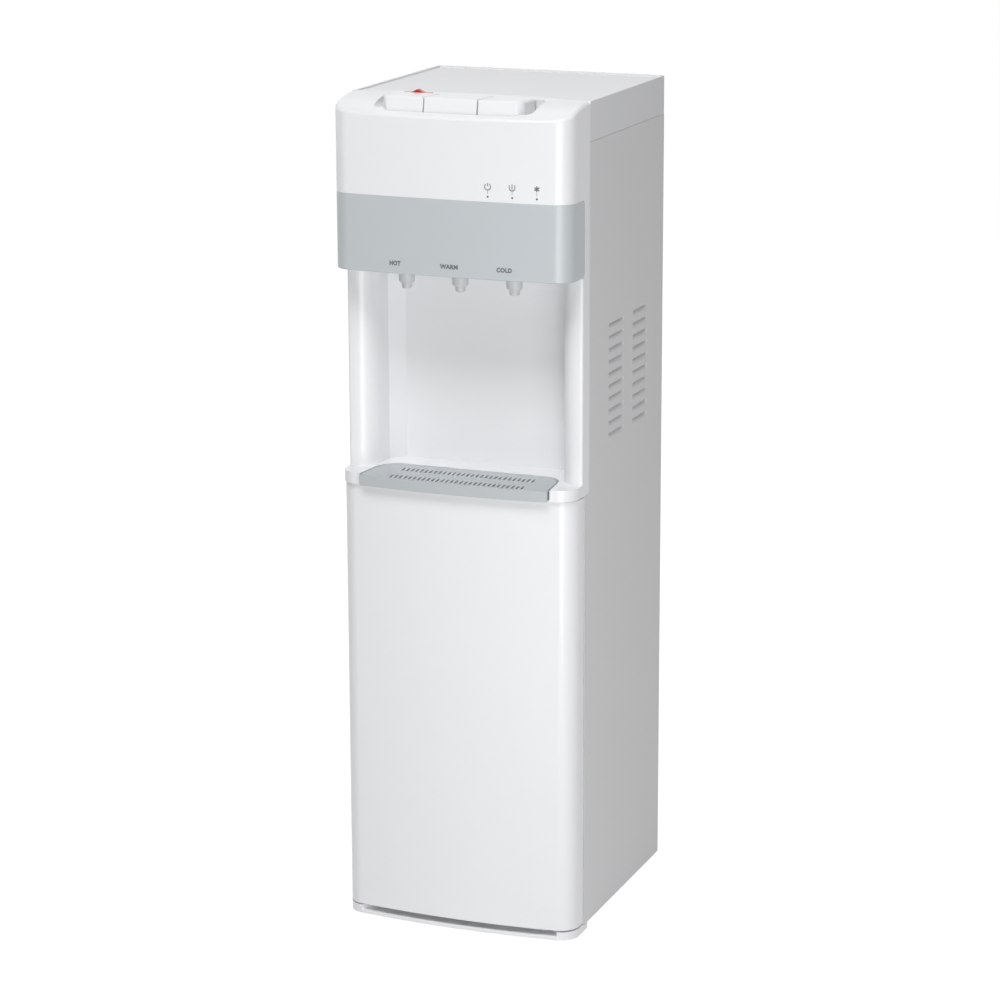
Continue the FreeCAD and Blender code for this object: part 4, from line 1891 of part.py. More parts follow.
def check(parts):
    """Stop when an object has failed or a shape can't be used."""
    for item in doc.Objects:
        if "Invalid" in item.State or "Error" in item.State:
            raise ValueError(f"{item.Name} failed: {item.State}")
    for item in parts:
        if item.Shape.isNull() or not item.Shape.isValid() or not item.Shape.Solids:
            raise ValueError(f"{item.Label} has no usable shape")


def export(parts):
    """Write every sub-part to its own file and print what it holds."""
    os.makedirs("parts", exist_ok=True)
    for item in parts:
        item.Shape.exportStep(f"parts/{item.Label}.step")
        print(f"{item.Label}: {len(item.Shape.Solids)} solids, {item.Shape.Volume:.0f} mm3")
    print(f"{len(parts)} sub-parts")


fill_sheet()
PARTS = all_parts()
doc.recompute()
check(PARTS)
export(PARTS)
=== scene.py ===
import json
import logging
import math
from dataclasses import dataclass, field
from enum import Enum
from typing import Iterable, Sequence

import bmesh
import bpy
import numpy as np
from mathutils import Matrix, Vector


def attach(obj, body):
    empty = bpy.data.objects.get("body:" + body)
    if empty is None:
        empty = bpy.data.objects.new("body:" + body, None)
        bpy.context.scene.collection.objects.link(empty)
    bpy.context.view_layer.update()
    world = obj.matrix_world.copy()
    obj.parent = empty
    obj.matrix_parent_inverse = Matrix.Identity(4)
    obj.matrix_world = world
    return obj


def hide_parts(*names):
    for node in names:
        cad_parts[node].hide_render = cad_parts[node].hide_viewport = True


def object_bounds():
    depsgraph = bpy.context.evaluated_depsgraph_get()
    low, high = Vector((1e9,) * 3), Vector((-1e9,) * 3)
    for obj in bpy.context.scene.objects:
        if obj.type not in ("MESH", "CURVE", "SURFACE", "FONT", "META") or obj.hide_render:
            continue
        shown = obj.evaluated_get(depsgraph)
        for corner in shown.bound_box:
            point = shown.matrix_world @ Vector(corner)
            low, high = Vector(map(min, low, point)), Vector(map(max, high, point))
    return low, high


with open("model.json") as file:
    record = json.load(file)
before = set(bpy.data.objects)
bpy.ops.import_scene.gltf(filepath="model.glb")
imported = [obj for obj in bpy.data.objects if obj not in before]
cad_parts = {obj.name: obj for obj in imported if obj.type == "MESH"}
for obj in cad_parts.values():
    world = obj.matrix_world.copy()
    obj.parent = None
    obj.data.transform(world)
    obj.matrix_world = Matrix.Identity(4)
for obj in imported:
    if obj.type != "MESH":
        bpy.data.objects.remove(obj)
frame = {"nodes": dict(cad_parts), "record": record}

CAD_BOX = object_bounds()
MM = 0.001
SHARP_ANGLE = math.radians(30)
CREASE_ANGLE = math.radians(35)
LOG = logging.getLogger("water_dispenser")
BODY_OF = {node: body for body, nodes in frame["record"]["behaviour"]["bodies"].items()
           for node in nodes}
SLOT_OF = {row["node"]: row["material_slot"] for row in frame["record"]["subparts"]}

Point = tuple[float, float]
Colour = tuple[float, float, float]


# Node graphs


class Signal:
    """A shader socket that takes part in sums as a number would."""

    def __init__(self, graph: "Graph", socket: bpy.types.NodeSocket) -> None:
        """Wrap an output socket of a graph."""
        self.graph = graph
        self.socket = socket

    def _math(self, operation: str, first: object, second: object) -> "Signal":
        """Add one Math node.

        Args:
            operation: name of the Math operation.
            first: its first value or signal.
            second: its second value or signal.

        Returns:
            The signal of the node's result.
        """
        node = self.graph.add("ShaderNodeMath", {"operation": operation}, {0: first, 1: second})
        return Signal(self.graph, node.outputs[0])

    def __add__(self, other: object) -> "Signal":
        """This signal plus another value."""
        return self._math("ADD", self, other)

    __radd__ = __add__

    def __sub__(self, other: object) -> "Signal":
        """This signal less another value."""
        return self._math("SUBTRACT", self, other)

    def __rsub__(self, other: object) -> "Signal":
        """A value less this signal."""
        return self._math("SUBTRACT", other, self)

    def __mul__(self, other: object) -> "Signal":
        """This signal times another value."""
        return self._math("MULTIPLY", self, other)

    __rmul__ = __mul__

    def __pow__(self, other: object) -> "Signal":
        """This signal to a power."""
        return self._math("POWER", self, other)

    def larger(self, other: object) -> "Signal":
        """The larger of this signal and another value."""
        return self._math("MAXIMUM", self, other)


class Graph:
    """A node tree that is filled one node per call."""

    def __init__(self, tree: bpy.types.NodeTree) -> None:
        """Start from an empty tree."""
        self.tree = tree
        tree.nodes.clear()

    def add(self, kind: str, settings: dict | None = None,
            sockets: dict | None = None) -> bpy.types.Node:
        """Make one node.

        Args:
            kind: Blender's type name of the node.
            settings: attributes of the node, set first; "stops" fills a colour ramp.
            sockets: a value, a signal or an output socket for each input, by name or number.

        Returns:
            The new node.
        """
        node = self.tree.nodes.new(kind)
        for name, value in (settings or {}).items():
            if name == "stops":
                self._fill_ramp(node.color_ramp, value)
            else:
                setattr(node, name, value)
        for name, value in (sockets or {}).items():
            value = value.socket if isinstance(value, Signal) else value
            if isinstance(value, bpy.types.NodeSocket):
                self.tree.links.new(value, node.inputs[name])
            else:
                node.inputs[name].default_value = value
        return node

    def signal(self, kind: str, settings: dict | None = None, sockets: dict | None = None,
               output: str | int = 0) -> Signal:
        """Make one node and wrap one of its outputs.

        Args:
            kind: Blender's type name of the node.
            settings: attributes of the node.
            sockets: values or links of its inputs.
            output: the output to wrap, by name or number.

        Returns:
            The signal of that output.
        """
        return Signal(self, self.add(kind, settings, sockets).outputs[output])

    @staticmethod
    def _fill_ramp(ramp: bpy.types.ColorRamp, stops: Sequence[tuple[float, float]]) -> None:
        """Give a colour ramp its grey stops, each a position and a level."""
        while len(ramp.elements) < len(stops):
            ramp.elements.new(1.0)
        for element, (position, level) in zip(ramp.elements, stops):
            element.position = position
            element.color = (level, level, level, 1.0)


# Finishes


def opaque(colour: Colour) -> tuple[float, float, float, float]:
    """A colour with full alpha."""
    return (*colour, 1.0)


def scaled(colour: Colour, factor: float) -> Colour:
    """A colour made lighter or darker."""
    return tuple(min(channel * factor, 1.0) for channel in colour)


@dataclass(frozen=True)
class Finish:
    """A surface finish whose tone and sheen drift a little over the piece."""

    name: str
    colour: Colour
    roughness: float = 0.4
    metallic: float = 0.0
    coat: float = 0.0
    tone: float = 0.012
    tone_scale: float = 9.0
    sheen_drift: float = 0.04
    grain_scale: float = 900.0
    grain_depth: float = 0.000004

    def material(self) -> bpy.types.Material:
        """The Blender material of this finish, made on first use."""
        made = bpy.data.materials.get(self.name)
        return made or self._make()

    def _make(self) -> bpy.types.Material:
        """Build the material's nodes."""
        material = bpy.data.materials.new(self.name)
        material.use_nodes = True
        graph = Graph(material.node_tree)
        place = graph.add("ShaderNodeTexCoord").outputs["Object"]
        shader = graph.add("ShaderNodeBsdfPrincipled", None, {
            "Metallic": self.metallic, "Coat Weight": self.coat, "Coat Roughness": 0.12})
        self.shade(graph, place, shader)
        graph.add("ShaderNodeOutputMaterial", None, {"Surface": shader.outputs[0]})
        material.diffuse_color = opaque(self.colour)
        return material

    def shade(self, graph: Graph, place: bpy.types.NodeSocket, shader: bpy.types.Node) -> None:
        """Wire what changes over the surface.

        Args:
            graph: the material's graph.
            place: object coordinates.
            shader: the Principled node to feed.
        """
        drift = graph.signal("ShaderNodeTexNoise", None,
                             {"Vector": place, "Scale": self.tone_scale, "Detail": 3.0})
        grain = graph.signal("ShaderNodeTexNoise", None,
                             {"Vector": place, "Scale": self.grain_scale, "Detail": 2.0})
        self.tint(graph, drift, shader)
        self.roughen(graph, drift + 0.3 * (grain - 0.5), shader)
        self.emboss(graph, grain, self.grain_depth, shader)

    def tint(self, graph: Graph, amount: Signal, shader: bpy.types.Node) -> None:
        """Mix the base colour between a darker and a lighter tone."""
        mix = graph.add("ShaderNodeMix", {"data_type": "RGBA"}, {
            "Factor": amount, 6: opaque(scaled(self.colour, 1 - self.tone)),
            7: opaque(scaled(self.colour, 1 + self.tone))})
        graph.tree.links.new(mix.outputs[2], shader.inputs["Base Color"])

    def roughen(self, graph: Graph, amount: Signal, shader: bpy.types.Node) -> None:
        """Let the roughness drift about its mean."""
        level = self.roughness + self.sheen_drift * (amount - 0.5)
        graph.tree.links.new(level.socket, shader.inputs["Roughness"])

    def emboss(self, graph: Graph, height: Signal, depth: float, shader: bpy.types.Node) -> None:
        """Feed the normal with a height field of a given depth in metres."""
        bump = graph.add("ShaderNodeBump", None,
                         {"Height": height, "Distance": depth, "Strength": 1.0})
        graph.tree.links.new(bump.outputs[0], shader.inputs["Normal"])


@dataclass(frozen=True)
class Spangled(Finish):
    """Zinc coating with crystals of different tone."""

    crystal_scale: float = 140.0

    def shade(self, graph: Graph, place: bpy.types.NodeSocket, shader: bpy.types.Node) -> None:
        """Tone and sheen follow the zinc crystals."""
        crystals = graph.add("ShaderNodeTexVoronoi", None,
                             {"Vector": place, "Scale": self.crystal_scale})
        shade = graph.signal("ShaderNodeSeparateColor", None, {0: crystals.outputs["Color"]})
        grain = graph.signal("ShaderNodeTexNoise", None,
                             {"Vector": place, "Scale": self.grain_scale, "Detail": 2.0})
        self.tint(graph, shade, shader)
        self.roughen(graph, shade + 0.5 * (grain - 0.5), shader)
        self.emboss(graph, grain, self.grain_depth, shader)


@dataclass(frozen=True)
class Drawn(Finish):
    """Metal with fine lines along one axis from rolling, drawing or turning."""

    stretch: tuple[float, float, float] = (1.0, 1.0, 0.04)

    def shade(self, graph: Graph, place: bpy.types.NodeSocket, shader: bpy.types.Node) -> None:
        """Tone and sheen follow lines that are stretched along the axis."""
        along = graph.add("ShaderNodeVectorMath", {"operation": "MULTIPLY"},
                          {0: place, 1: self.stretch})
        lines = graph.signal("ShaderNodeTexNoise", None,
                             {"Vector": along.outputs[0], "Scale": self.grain_scale, "Detail": 3.0})
        self.tint(graph, lines, shader)
        self.roughen(graph, lines, shader)
        self.emboss(graph, lines, self.grain_depth, shader)


@dataclass(frozen=True)
class Cellular(Finish):
    """Foamed plastic with a skin of small cells."""

    cell_scale: float = 320.0

    def shade(self, graph: Graph, place: bpy.types.NodeSocket, shader: bpy.types.Node) -> None:
        """Cells dent the surface and darken its seams."""
        cells = graph.signal("ShaderNodeTexVoronoi", None,
                             {"Vector": place, "Scale": self.cell_scale}, "Distance")
        self.tint(graph, cells, shader)
        self.roughen(graph, cells, shader)
        self.emboss(graph, cells, self.grain_depth, shader)


FINISHES: dict[str, Finish] = {
    "white_panel": Finish("White moulding", (0.86, 0.868, 0.882), 0.30, coat=0.25),
    "white_steel": Finish("White painted sheet", (0.745, 0.75, 0.758), 0.42, tone=0.008,
                          grain_scale=420.0, grain_depth=0.00001),
    "grey_panel": Finish("Silver grey moulding", (0.53, 0.565, 0.585), 0.34, coat=0.2),
    "grille_grey": Finish("Grey tray moulding", (0.50, 0.53, 0.547), 0.45),
    "nozzle_grey": Finish("Light grey moulding", (0.66, 0.67, 0.68), 0.38),
    "lock_red": Finish("Red moulding", (0.62, 0.012, 0.022), 0.32, coat=0.3),
    "dark_plastic": Finish("Black moulding", (0.022, 0.022, 0.024), 0.45),
    "galvanised": Spangled("Zinc coated sheet", (0.56, 0.58, 0.60), 0.42, 0.9, tone=0.09,
                           sheen_drift=0.16),
    "stainless": Drawn("Stainless steel", (0.60, 0.61, 0.62), 0.28, 1.0, tone=0.04),
    "plain_steel": Drawn("Bright steel", (0.62, 0.63, 0.64), 0.30, 1.0, tone=0.05),
    "black_steel": Finish("Black paint", (0.02, 0.02, 0.022), 0.35, grain_scale=420.0,
                          grain_depth=0.00001),
    "copper": Drawn("Copper tube", (0.72, 0.36, 0.22), 0.30, 1.0, tone=0.08),
    "foam": Cellular("Foam jacket", (0.82, 0.78, 0.66), 0.85, tone=0.07, grain_depth=0.0003),
    "rubber_black": Finish("Black rubber", (0.02, 0.02, 0.02), 0.75, grain_depth=0.00002),
    "silicone": Finish("Hose silicone", (0.78, 0.80, 0.81), 0.35),
    "lamp_green": Finish("Smoked light pipe", (0.045, 0.052, 0.05), 0.18, coat=0.6),
}
WHITE = (1.0, 1.0, 1.0)
COVER = Finish("White satin moulding", (0.86, 0.868, 0.882), 0.55)
INK = Finish("Grey print", (0.15, 0.156, 0.163), 0.55, tone=0.06)
SYMBOL_INK = Finish("Pale grey print", (0.30, 0.31, 0.32), 0.55, tone=0.06)
GASKET = Finish("Grey gasket", (0.30, 0.31, 0.32), 0.6)


# Meshes


class Ease(Enum):
    """How far the sharp edges of a moulded or folded piece are rounded, in metres."""

    AS_DRAWN = 0.0
    SHEET = 0.0002
    CRISP = 0.0003
    SOFT = 0.0006
    ROUND = 0.001


def new_object(name: str, mesh: bpy.types.Mesh) -> bpy.types.Object:
    """Link a mesh to the scene as an object at the origin."""
    item = bpy.data.objects.new(name, mesh)
    bpy.context.scene.collection.objects.link(item)
    return item


def mesh_of(name: str, points: Sequence[Sequence[float]], edges: Sequence[Sequence[int]] = (),
            faces: Sequence[Sequence[int]] = ()) -> bpy.types.Mesh:
    """Make a mesh from points in millimetres.

    Args:
        name: name of the mesh.
        points: its vertices in millimetres.
        edges: loose edges.
        faces: faces, counter-clockwise from outside.

    Returns:
        The mesh in metres.
    """
    mesh = bpy.data.meshes.new(name)
    mesh.from_pydata([tuple(value * MM for value in point) for point in points], edges, faces)
    mesh.validate()
    return mesh


def loops_of(name: str, outlines: Sequence[Sequence[Sequence[float]]]) -> bpy.types.Mesh:
    """Make a mesh of closed outlines, whose points are in millimetres."""
    points: list[Sequence[float]] = []
    edges: list[tuple[int, int]] = []
    for outline in outlines:
        start, count = len(points), len(outline)
        points.extend(outline)
        edges.extend((start + n, start + (n + 1) % count) for n in range(count))
    return mesh_of(name, points, edges=edges)


def even_out(item: bpy.types.Object, ease: Ease, segments: int = 3) -> None:
    """Round an object's wide sharp edges and lay its normals evenly.

    Args:
        item: the object, with whole flat faces.
        ease: how far its edges are rounded.
        segments: facets across a rounded edge.
    """
    if ease is not Ease.AS_DRAWN:
        mesh = item.data
        weights = mesh.attributes.new("bevel_weight_edge", "FLOAT", "EDGE")
        weights.data.foreach_set("value", wide_edges(mesh, 2.5 * ease.value))
        bevel = item.modifiers.new("Eased edges", "BEVEL")
        bevel.limit_method = "WEIGHT"
        bevel.width = ease.value
        bevel.segments = segments
        bevel.use_clamp_overlap = False
        graph = bpy.context.evaluated_depsgraph_get()
        item.data = bpy.data.meshes.new_from_object(item.evaluated_get(graph))
        item.modifiers.clear()
        item.data.name = mesh.name
        bpy.data.meshes.remove(mesh)
    lay_normals(item.data)


def lay_normals(mesh: bpy.types.Mesh) -> None:
    """Give each corner the mean normal of the faces that meet it at less than a crease.

    Args:
        mesh: the mesh, whose faces count by their area, so that flat faces stay flat.
    """
    vertex_of = np.empty(len(mesh.loops), int)
    mesh.loops.foreach_get("vertex_index", vertex_of)
    totals = np.empty(len(mesh.polygons), int)
    mesh.polygons.foreach_get("loop_total", totals)
    areas = np.empty(len(mesh.polygons))
    mesh.polygons.foreach_get("area", areas)
    flat = np.empty(3 * len(mesh.polygons))
    mesh.polygons.foreach_get("normal", flat)
    normals = flat.reshape(-1, 3)
    face_of = np.repeat(np.arange(len(totals)), totals)
    order = np.argsort(vertex_of, kind="stable")
    sizes = np.bincount(vertex_of, minlength=len(mesh.vertices))
    starts = np.cumsum(sizes) - sizes
    own = vertex_of[order]
    left = np.repeat(order, sizes[own])
    step = np.arange(len(left)) - np.repeat(np.cumsum(sizes[own]) - sizes[own], sizes[own])
    right = order[np.repeat(starts[own], sizes[own]) + step]
    here, there = normals[face_of[left]], normals[face_of[right]]
    near = (here * there).sum(1) > math.cos(CREASE_ANGLE)
    weight = areas[face_of[right]] * near
    total = np.stack([np.bincount(left, weight * there[:, axis], minlength=len(vertex_of))
                      for axis in range(3)], 1)
    total /= np.maximum(np.linalg.norm(total, axis=1, keepdims=True), 1e-12)
    mesh.shade_smooth()
    mesh.normals_split_custom_set(total)


def wide_edges(mesh: bpy.types.Mesh, least: float) -> list[float]:
    """Tell which sharp outer edges lie between faces wide enough to be rounded.

    Args:
        mesh: a mesh with whole flat faces.
        least: the least width of a face beside such an edge, in metres.

    Returns:
        One for each such edge and nought for the others.
    """
    shape = bmesh.new()
    shape.from_mesh(mesh)
    widths = {face: 2 * face.calc_area() / face.calc_perimeter() for face in shape.faces}
    chosen = []
    for edge in shape.edges:
        outer = len(edge.link_faces) == 2 and edge.calc_face_angle_signed() > SHARP_ANGLE
        chosen.append(float(outer and all(widths[face] > least for face in edge.link_faces)))
    shape.free()
    return chosen


def merged_copy(node: str, name: str, whole_faces: bool) -> bpy.types.Object:
    """Copy a CAD node with its doubles merged.

    Args:
        node: name of the CAD node.
        name: name of the copy.
        whole_faces: whether the triangles of a flat face are joined.

    Returns:
        The copy.
    """
    shape = bmesh.new()
    shape.from_mesh(frame["nodes"][node].data)
    bmesh.ops.remove_doubles(shape, verts=shape.verts, dist=0.000002)
    if whole_faces:
        bmesh.ops.dissolve_limit(shape, angle_limit=math.radians(0.4), verts=shape.verts,
                                 edges=shape.edges)
    mesh = bpy.data.meshes.new(name)
    shape.to_mesh(mesh)
    shape.free()
    return new_object(name, mesh)


def finish_node(node: str, ease: Ease = Ease.AS_DRAWN,
                finish: Finish | None = None) -> bpy.types.Object:
    """Put an evenly shaded copy with eased edges in a CAD node's place.

    Args:
        node: name of the CAD node.
        ease: how far its edges are rounded.
        finish: its surface, where that isn't the one of its slot.

    Returns:
        The dressed copy.
    """
    item = merged_copy(node, f"{node}_finished", ease is not Ease.AS_DRAWN)
    even_out(item, ease)
    return dress(item, finish or FINISHES[SLOT_OF[node]], BODY_OF[node], [node])


def dress(item: bpy.types.Object, finish: Finish, body: str,
          replaced: Iterable[str] = ()) -> bpy.types.Object:
    """Finish a piece and hang it on its body.

    Args:
        item: the piece.
        finish: its surface.
        body: the CAD body that carries it.
        replaced: CAD nodes that it stands for.

    Returns:
        The piece.
    """
    item.data.materials.clear()
    item.data.materials.append(finish.material())
    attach(item, body)
    if replaced:
        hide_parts(*replaced)
    LOG.info("%s rides on %s in %s", item.name, body, finish.name)
    return item


# Geometry Nodes


class Recipe:
    """A Geometry Nodes tree with named inputs that makes one mesh."""

    def __init__(self, name: str, sizes: dict[str, float | int]) -> None:
        """Open a tree with a geometry input and one input for each size.

        Args:
            name: name of the tree.
            sizes: the named sizes with their values.
        """
        self.tree = bpy.data.node_groups.new(name, "GeometryNodeTree")
        self.sizes = sizes
        self.tree.interface.new_socket("Geometry", in_out="INPUT",
                                       socket_type="NodeSocketGeometry")
        self.tree.interface.new_socket("Geometry", in_out="OUTPUT",
                                       socket_type="NodeSocketGeometry")
        self.keys = {}
        for label, value in sizes.items():
            kind = "NodeSocketInt" if isinstance(value, int) else "NodeSocketFloat"
            socket = self.tree.interface.new_socket(label, in_out="INPUT", socket_type=kind)
            self.keys[label] = socket.identifier
        self.graph = Graph(self.tree)
        self.inputs = self.graph.add("NodeGroupInput").outputs

    def geometry(self, kind: str, settings: dict | None = None,
                 sockets: dict | None = None) -> bpy.types.NodeSocket:
        """Add a node and return its first output."""
        return self.graph.add(kind, settings, sockets).outputs[0]

    def number(self, operation: str, first: object, second: object) -> bpy.types.NodeSocket:
        """Add a Math node on two numbers or sockets."""
        return self.geometry("ShaderNodeMath", {"operation": operation}, {0: first, 1: second})

    def vector(self, x: object = 0.0, y: object = 0.0, z: object = 0.0) -> bpy.types.NodeSocket:
        """Join three numbers or sockets to a vector."""
        return self.geometry("ShaderNodeCombineXYZ", None, {"X": x, "Y": y, "Z": z})

    def join(self, *parts: bpy.types.NodeSocket) -> bpy.types.NodeSocket:
        """Join several geometries."""
        node = self.graph.add("GeometryNodeJoinGeometry")
        for part in parts:
            self.tree.links.new(part, node.inputs[0])
        return node.outputs[0]

    def plate(self, flat: bpy.types.NodeSocket, thickness: object,
              along: tuple[float, float, float] = (0.0, 0.0, 1.0)) -> bpy.types.NodeSocket:
        """Give a sheet its thickness and close it.

        Args:
            flat: the sheet, which faces along the direction.
            thickness: how thick it becomes.
            along: direction in which it is thickened.

        Returns:
            The closed geometry.
        """
        raised = self.geometry("GeometryNodeExtrudeMesh", {"mode": "FACES"}, {
            "Mesh": flat, "Offset": along, "Offset Scale": thickness, "Individual": False})
        under = self.geometry("GeometryNodeFlipFaces", None, {"Mesh": flat})
        return self.geometry("GeometryNodeMergeByDistance", None, {
            "Geometry": self.join(raised, under), "Distance": 0.000005})

    def curve(self) -> bpy.types.NodeSocket:
        """The seed mesh as curves."""
        return self.geometry("GeometryNodeMeshToCurve", None, {"Mesh": self.inputs["Geometry"]})

    def fill(self, outlines: bpy.types.NodeSocket, level: object) -> bpy.types.NodeSocket:
        """Fill flat outlines, less those within them, and lift the sheet to its level."""
        flat = self.geometry("GeometryNodeFillCurve", {"mode": "TRIANGLES"}, {"Curve": outlines})
        return self.geometry("GeometryNodeTransform", None,
                             {"Geometry": flat, "Translation": self.vector(z=level)})

    def copies(self, template: bpy.types.Object,
               scale: bpy.types.NodeSocket) -> bpy.types.NodeSocket:
        """Put a template on each point of the seed mesh."""
        source = self.graph.add("GeometryNodeObjectInfo", None, {"Object": template})
        return self.geometry("GeometryNodeInstanceOnPoints", None, {
            "Points": self.inputs["Geometry"], "Instance": source.outputs["Geometry"],
            "Scale": scale})

    def close(self, result: bpy.types.NodeSocket, finish: Finish) -> None:
        """End the tree: realise instances and give the finish."""
        real = self.geometry("GeometryNodeRealizeInstances", None, {"Geometry": result})
        dressed = self.geometry("GeometryNodeSetMaterial", None,
                                {"Geometry": real, "Material": finish.material()})
        self.graph.add("NodeGroupOutput", None, {"Geometry": dressed})

    def bake(self, name: str, seed: bpy.types.Mesh) -> bpy.types.Object:
        """Run the tree on a mesh and keep the result as a plain mesh.

        Args:
            name: name of the new piece.
            seed: mesh that goes into the tree.

        Returns:
            The piece, with no modifier left on it.
        """
        item = new_object(name, seed)
        modifier = item.modifiers.new("Recipe", "NODES")
        modifier.node_group = self.tree
        for label, value in self.sizes.items():
            modifier[self.keys[label]] = value
        graph = bpy.context.evaluated_depsgraph_get()
        made = bpy.data.meshes.new_from_object(item.evaluated_get(graph))
        item.modifiers.clear()
        item.data = made
        made.name = name
        return item


# Shared outlines, in millimetres


def arc(centre: Point, radius: float, start: float, end: float, steps: int) -> list[Point]:
    """Points of an arc.

    Args:
        centre: centre of the arc.
        radius: its radius.
        start: first angle in degrees.
        end: last angle in degrees.
        steps: number of pieces.

    Returns:
        The points, both ends included.
    """
    angles = np.radians(np.linspace(start, end, steps + 1))
    return [(centre[0] + radius * math.cos(a), centre[1] + radius * math.sin(a)) for a in angles]


@dataclass(frozen=True)
class Bow:
    """Gently curved front of a panel in plan."""

    front: float
    radius: float

    def depth(self, x: float) -> float:
        """The front's y at a distance x from the middle plane."""
        return self.front + self.radius - math.sqrt(self.radius ** 2 - x ** 2)

    def moved_in(self, sink: float) -> "Bow":
        """The same bow a little behind this one."""
        return Bow(self.front + sink, self.radius - sink)

    def line(self, sink: float, corner: float, rear: float) -> list[Point]:
        """Plan line round the front, from the left side to the right one.

        Args:
            sink: how far the sides lie within the cabinet.
            corner: radius of the two corners.
            rear: y at both ends of the line.

        Returns:
            The points of the line.
        """
        side = CAD_BOX[1][0] / MM - sink
        start = side - corner
        reach = math.sqrt((self.radius - corner) ** 2 - start ** 2)
        slope = math.degrees(math.asin(start / (self.radius - corner)))
        centre = (start, self.front + self.radius - reach)
        right = arc(centre, corner, slope - 90, 0, 12)
        joint = right[0][0]
        front = [(x, self.depth(x)) for x in np.linspace(-joint, joint, 61)]
        left = [(-x, y) for x, y in reversed(right)]
        return [(-side, rear), *left, *front[1:-1], *right, (side, rear)]


FASCIA_BOW = Bow(-175.0, 1979.0)


# Sub-assemblies


@dataclass
class Casing:
    """Steel panels, base, cover and the screws that hold the back."""

    screw_x: float = 143.5
    screw_first: float = 60.0
    screw_pitch: float = 228.0
    screw_rows: int = 5
    head_radius: float = 3.5
    head_height: float = 2.0
    seat: float = 172.84
    sheet: float = 0.8
    louvre_length: float = 56.0
    louvre_window: float = 9.0
    louvre_dip: float = 4.6
    louvre_curl: float = 1.7
    louvre_ends: float = 7.0
    louvre_pitch: float = 15.4
    louvre_rows: int = 10
    louvre_foot: float = 620.0
    louvre_front: float = -31.5
    louvre_column: float = 89.0

    def build(self) -> None:
        """Make every piece of the casing."""
        finish_node("back_panel", Ease.SHEET)
        finish_node("base_pan", Ease.SOFT)
        finish_node("top_cover", Ease.CRISP, COVER)
        for side, name in ((1, "side_panel_right"), (-1, "side_panel_left")):
            self.side_panel(side, name)
        self.screws()

    @property
    def field_corners(self) -> tuple[Point, Point]:
        """Lowest and highest (y, z) of the pressed field of a side panel."""
        side = (self.louvre_column - self.louvre_length) / 2
        rise = (self.louvre_pitch - self.louvre_window) / 2
        low = (self.louvre_front - side, self.louvre_foot - rise)
        return low, (low[0] + 2 * self.louvre_column,
                     low[1] + self.louvre_rows * self.louvre_pitch)

    def side_panel(self, side: int, name: str) -> None:
        """Cut the louvre field out of a side panel and put the pressed field in.

        Args:
            side: 1 for the right panel, -1 for the left one.
            name: the panel's CAD node.
        """
        item = merged_copy(name, f"{name}_sheet", False)
        shape = bmesh.new()
        shape.from_mesh(item.data)
        low, high = ([value * MM for value in corner] for corner in self.field_corners)
        for axis in (0, 1):
            for level in (low[axis], high[axis]):
                place, across = [0.0] * 3, [0.0] * 3
                place[axis + 1], across[axis + 1] = level, 1.0
                bmesh.ops.bisect_plane(shape, geom=shape.verts[:] + shape.edges[:] + shape.faces[:],
                                       plane_co=place, plane_no=across, dist=0.0000001)
        inside = [face for face in shape.faces if all(
            low[axis] < face.calc_center_median()[axis + 1] < high[axis] for axis in (0, 1))]
        bmesh.ops.delete(shape, geom=inside, context="FACES")
        rim = [edge for edge in shape.edges if len(edge.link_faces) == 1]
        walls = bmesh.ops.bridge_loops(shape, edges=rim)
        bmesh.ops.recalc_face_normals(shape, faces=walls["faces"])
        bmesh.ops.recalc_face_normals(shape, faces=shape.faces)
        shape.to_mesh(item.data)
        shape.free()
        even_out(item, Ease.AS_DRAWN)
        dress(item, FINISHES["white_steel"], "cabinet", [name])
        self.louvre_field(side, name)

    def louvre_field(self, side: int, name: str) -> None:
        """Press the louvres of one side panel.

        Args:
            side: 1 for the right panel, -1 for the left one.
            name: the panel's CAD node.
        """
        tile = self.louvre_tile(side)
        spots = [(side * CAD_BOX[1][0] / MM, self.louvre_front + column * self.louvre_column,
                  self.louvre_foot + row * self.louvre_pitch)
                 for column in range(2) for row in range(self.louvre_rows)]
        recipe = Recipe(f"Louvres {name}", {"Sheet": self.sheet * MM, "Press": 1.0})
        placed = recipe.copies(tile, recipe.vector(recipe.inputs["Press"], 1.0, 1.0))
        placed = recipe.geometry("GeometryNodeRealizeInstances", None, {"Geometry": placed})
        placed = recipe.geometry("GeometryNodeMergeByDistance", None,
                                 {"Geometry": placed, "Distance": 0.00001})
        recipe.close(recipe.plate(placed, recipe.inputs["Sheet"], (-float(side), 0.0, 0.0)),
                     FINISHES["white_steel"])
        item = recipe.bake(f"{name}_louvres", mesh_of("louvre_spots", spots))
        bpy.data.objects.remove(tile)
        even_out(item, Ease.AS_DRAWN)
        dress(item, FINISHES["white_steel"], "cabinet")

    def louvre_tile(self, side: int, across: int = 26, up: int = 8) -> bpy.types.Object:
        """One louvre with its share of the flat sheet, facing into the cabinet.

        Args:
            side: 1 for the right panel, -1 for the left one.
            across: cells along the louvre.
            up: cells over its height.

        Returns:
            The template, with its origin at the louvre's front lower corner.
        """
        side_margin = (self.louvre_column - self.louvre_length) / 2
        rise = (self.louvre_pitch - self.louvre_window) / 2
        shares = [(1 - math.cos(math.pi * n / across)) / 2 for n in range(across + 1)]
        along = [-side_margin, *(self.louvre_length * share for share in shares),
                 self.louvre_length + side_margin]
        levels = [-rise, *(self.louvre_window * n / up for n in range(up + 1)),
                  self.louvre_window + rise]
        points: list[tuple[float, float, float]] = []
        found: dict[tuple[int, int, bool], int] = {}

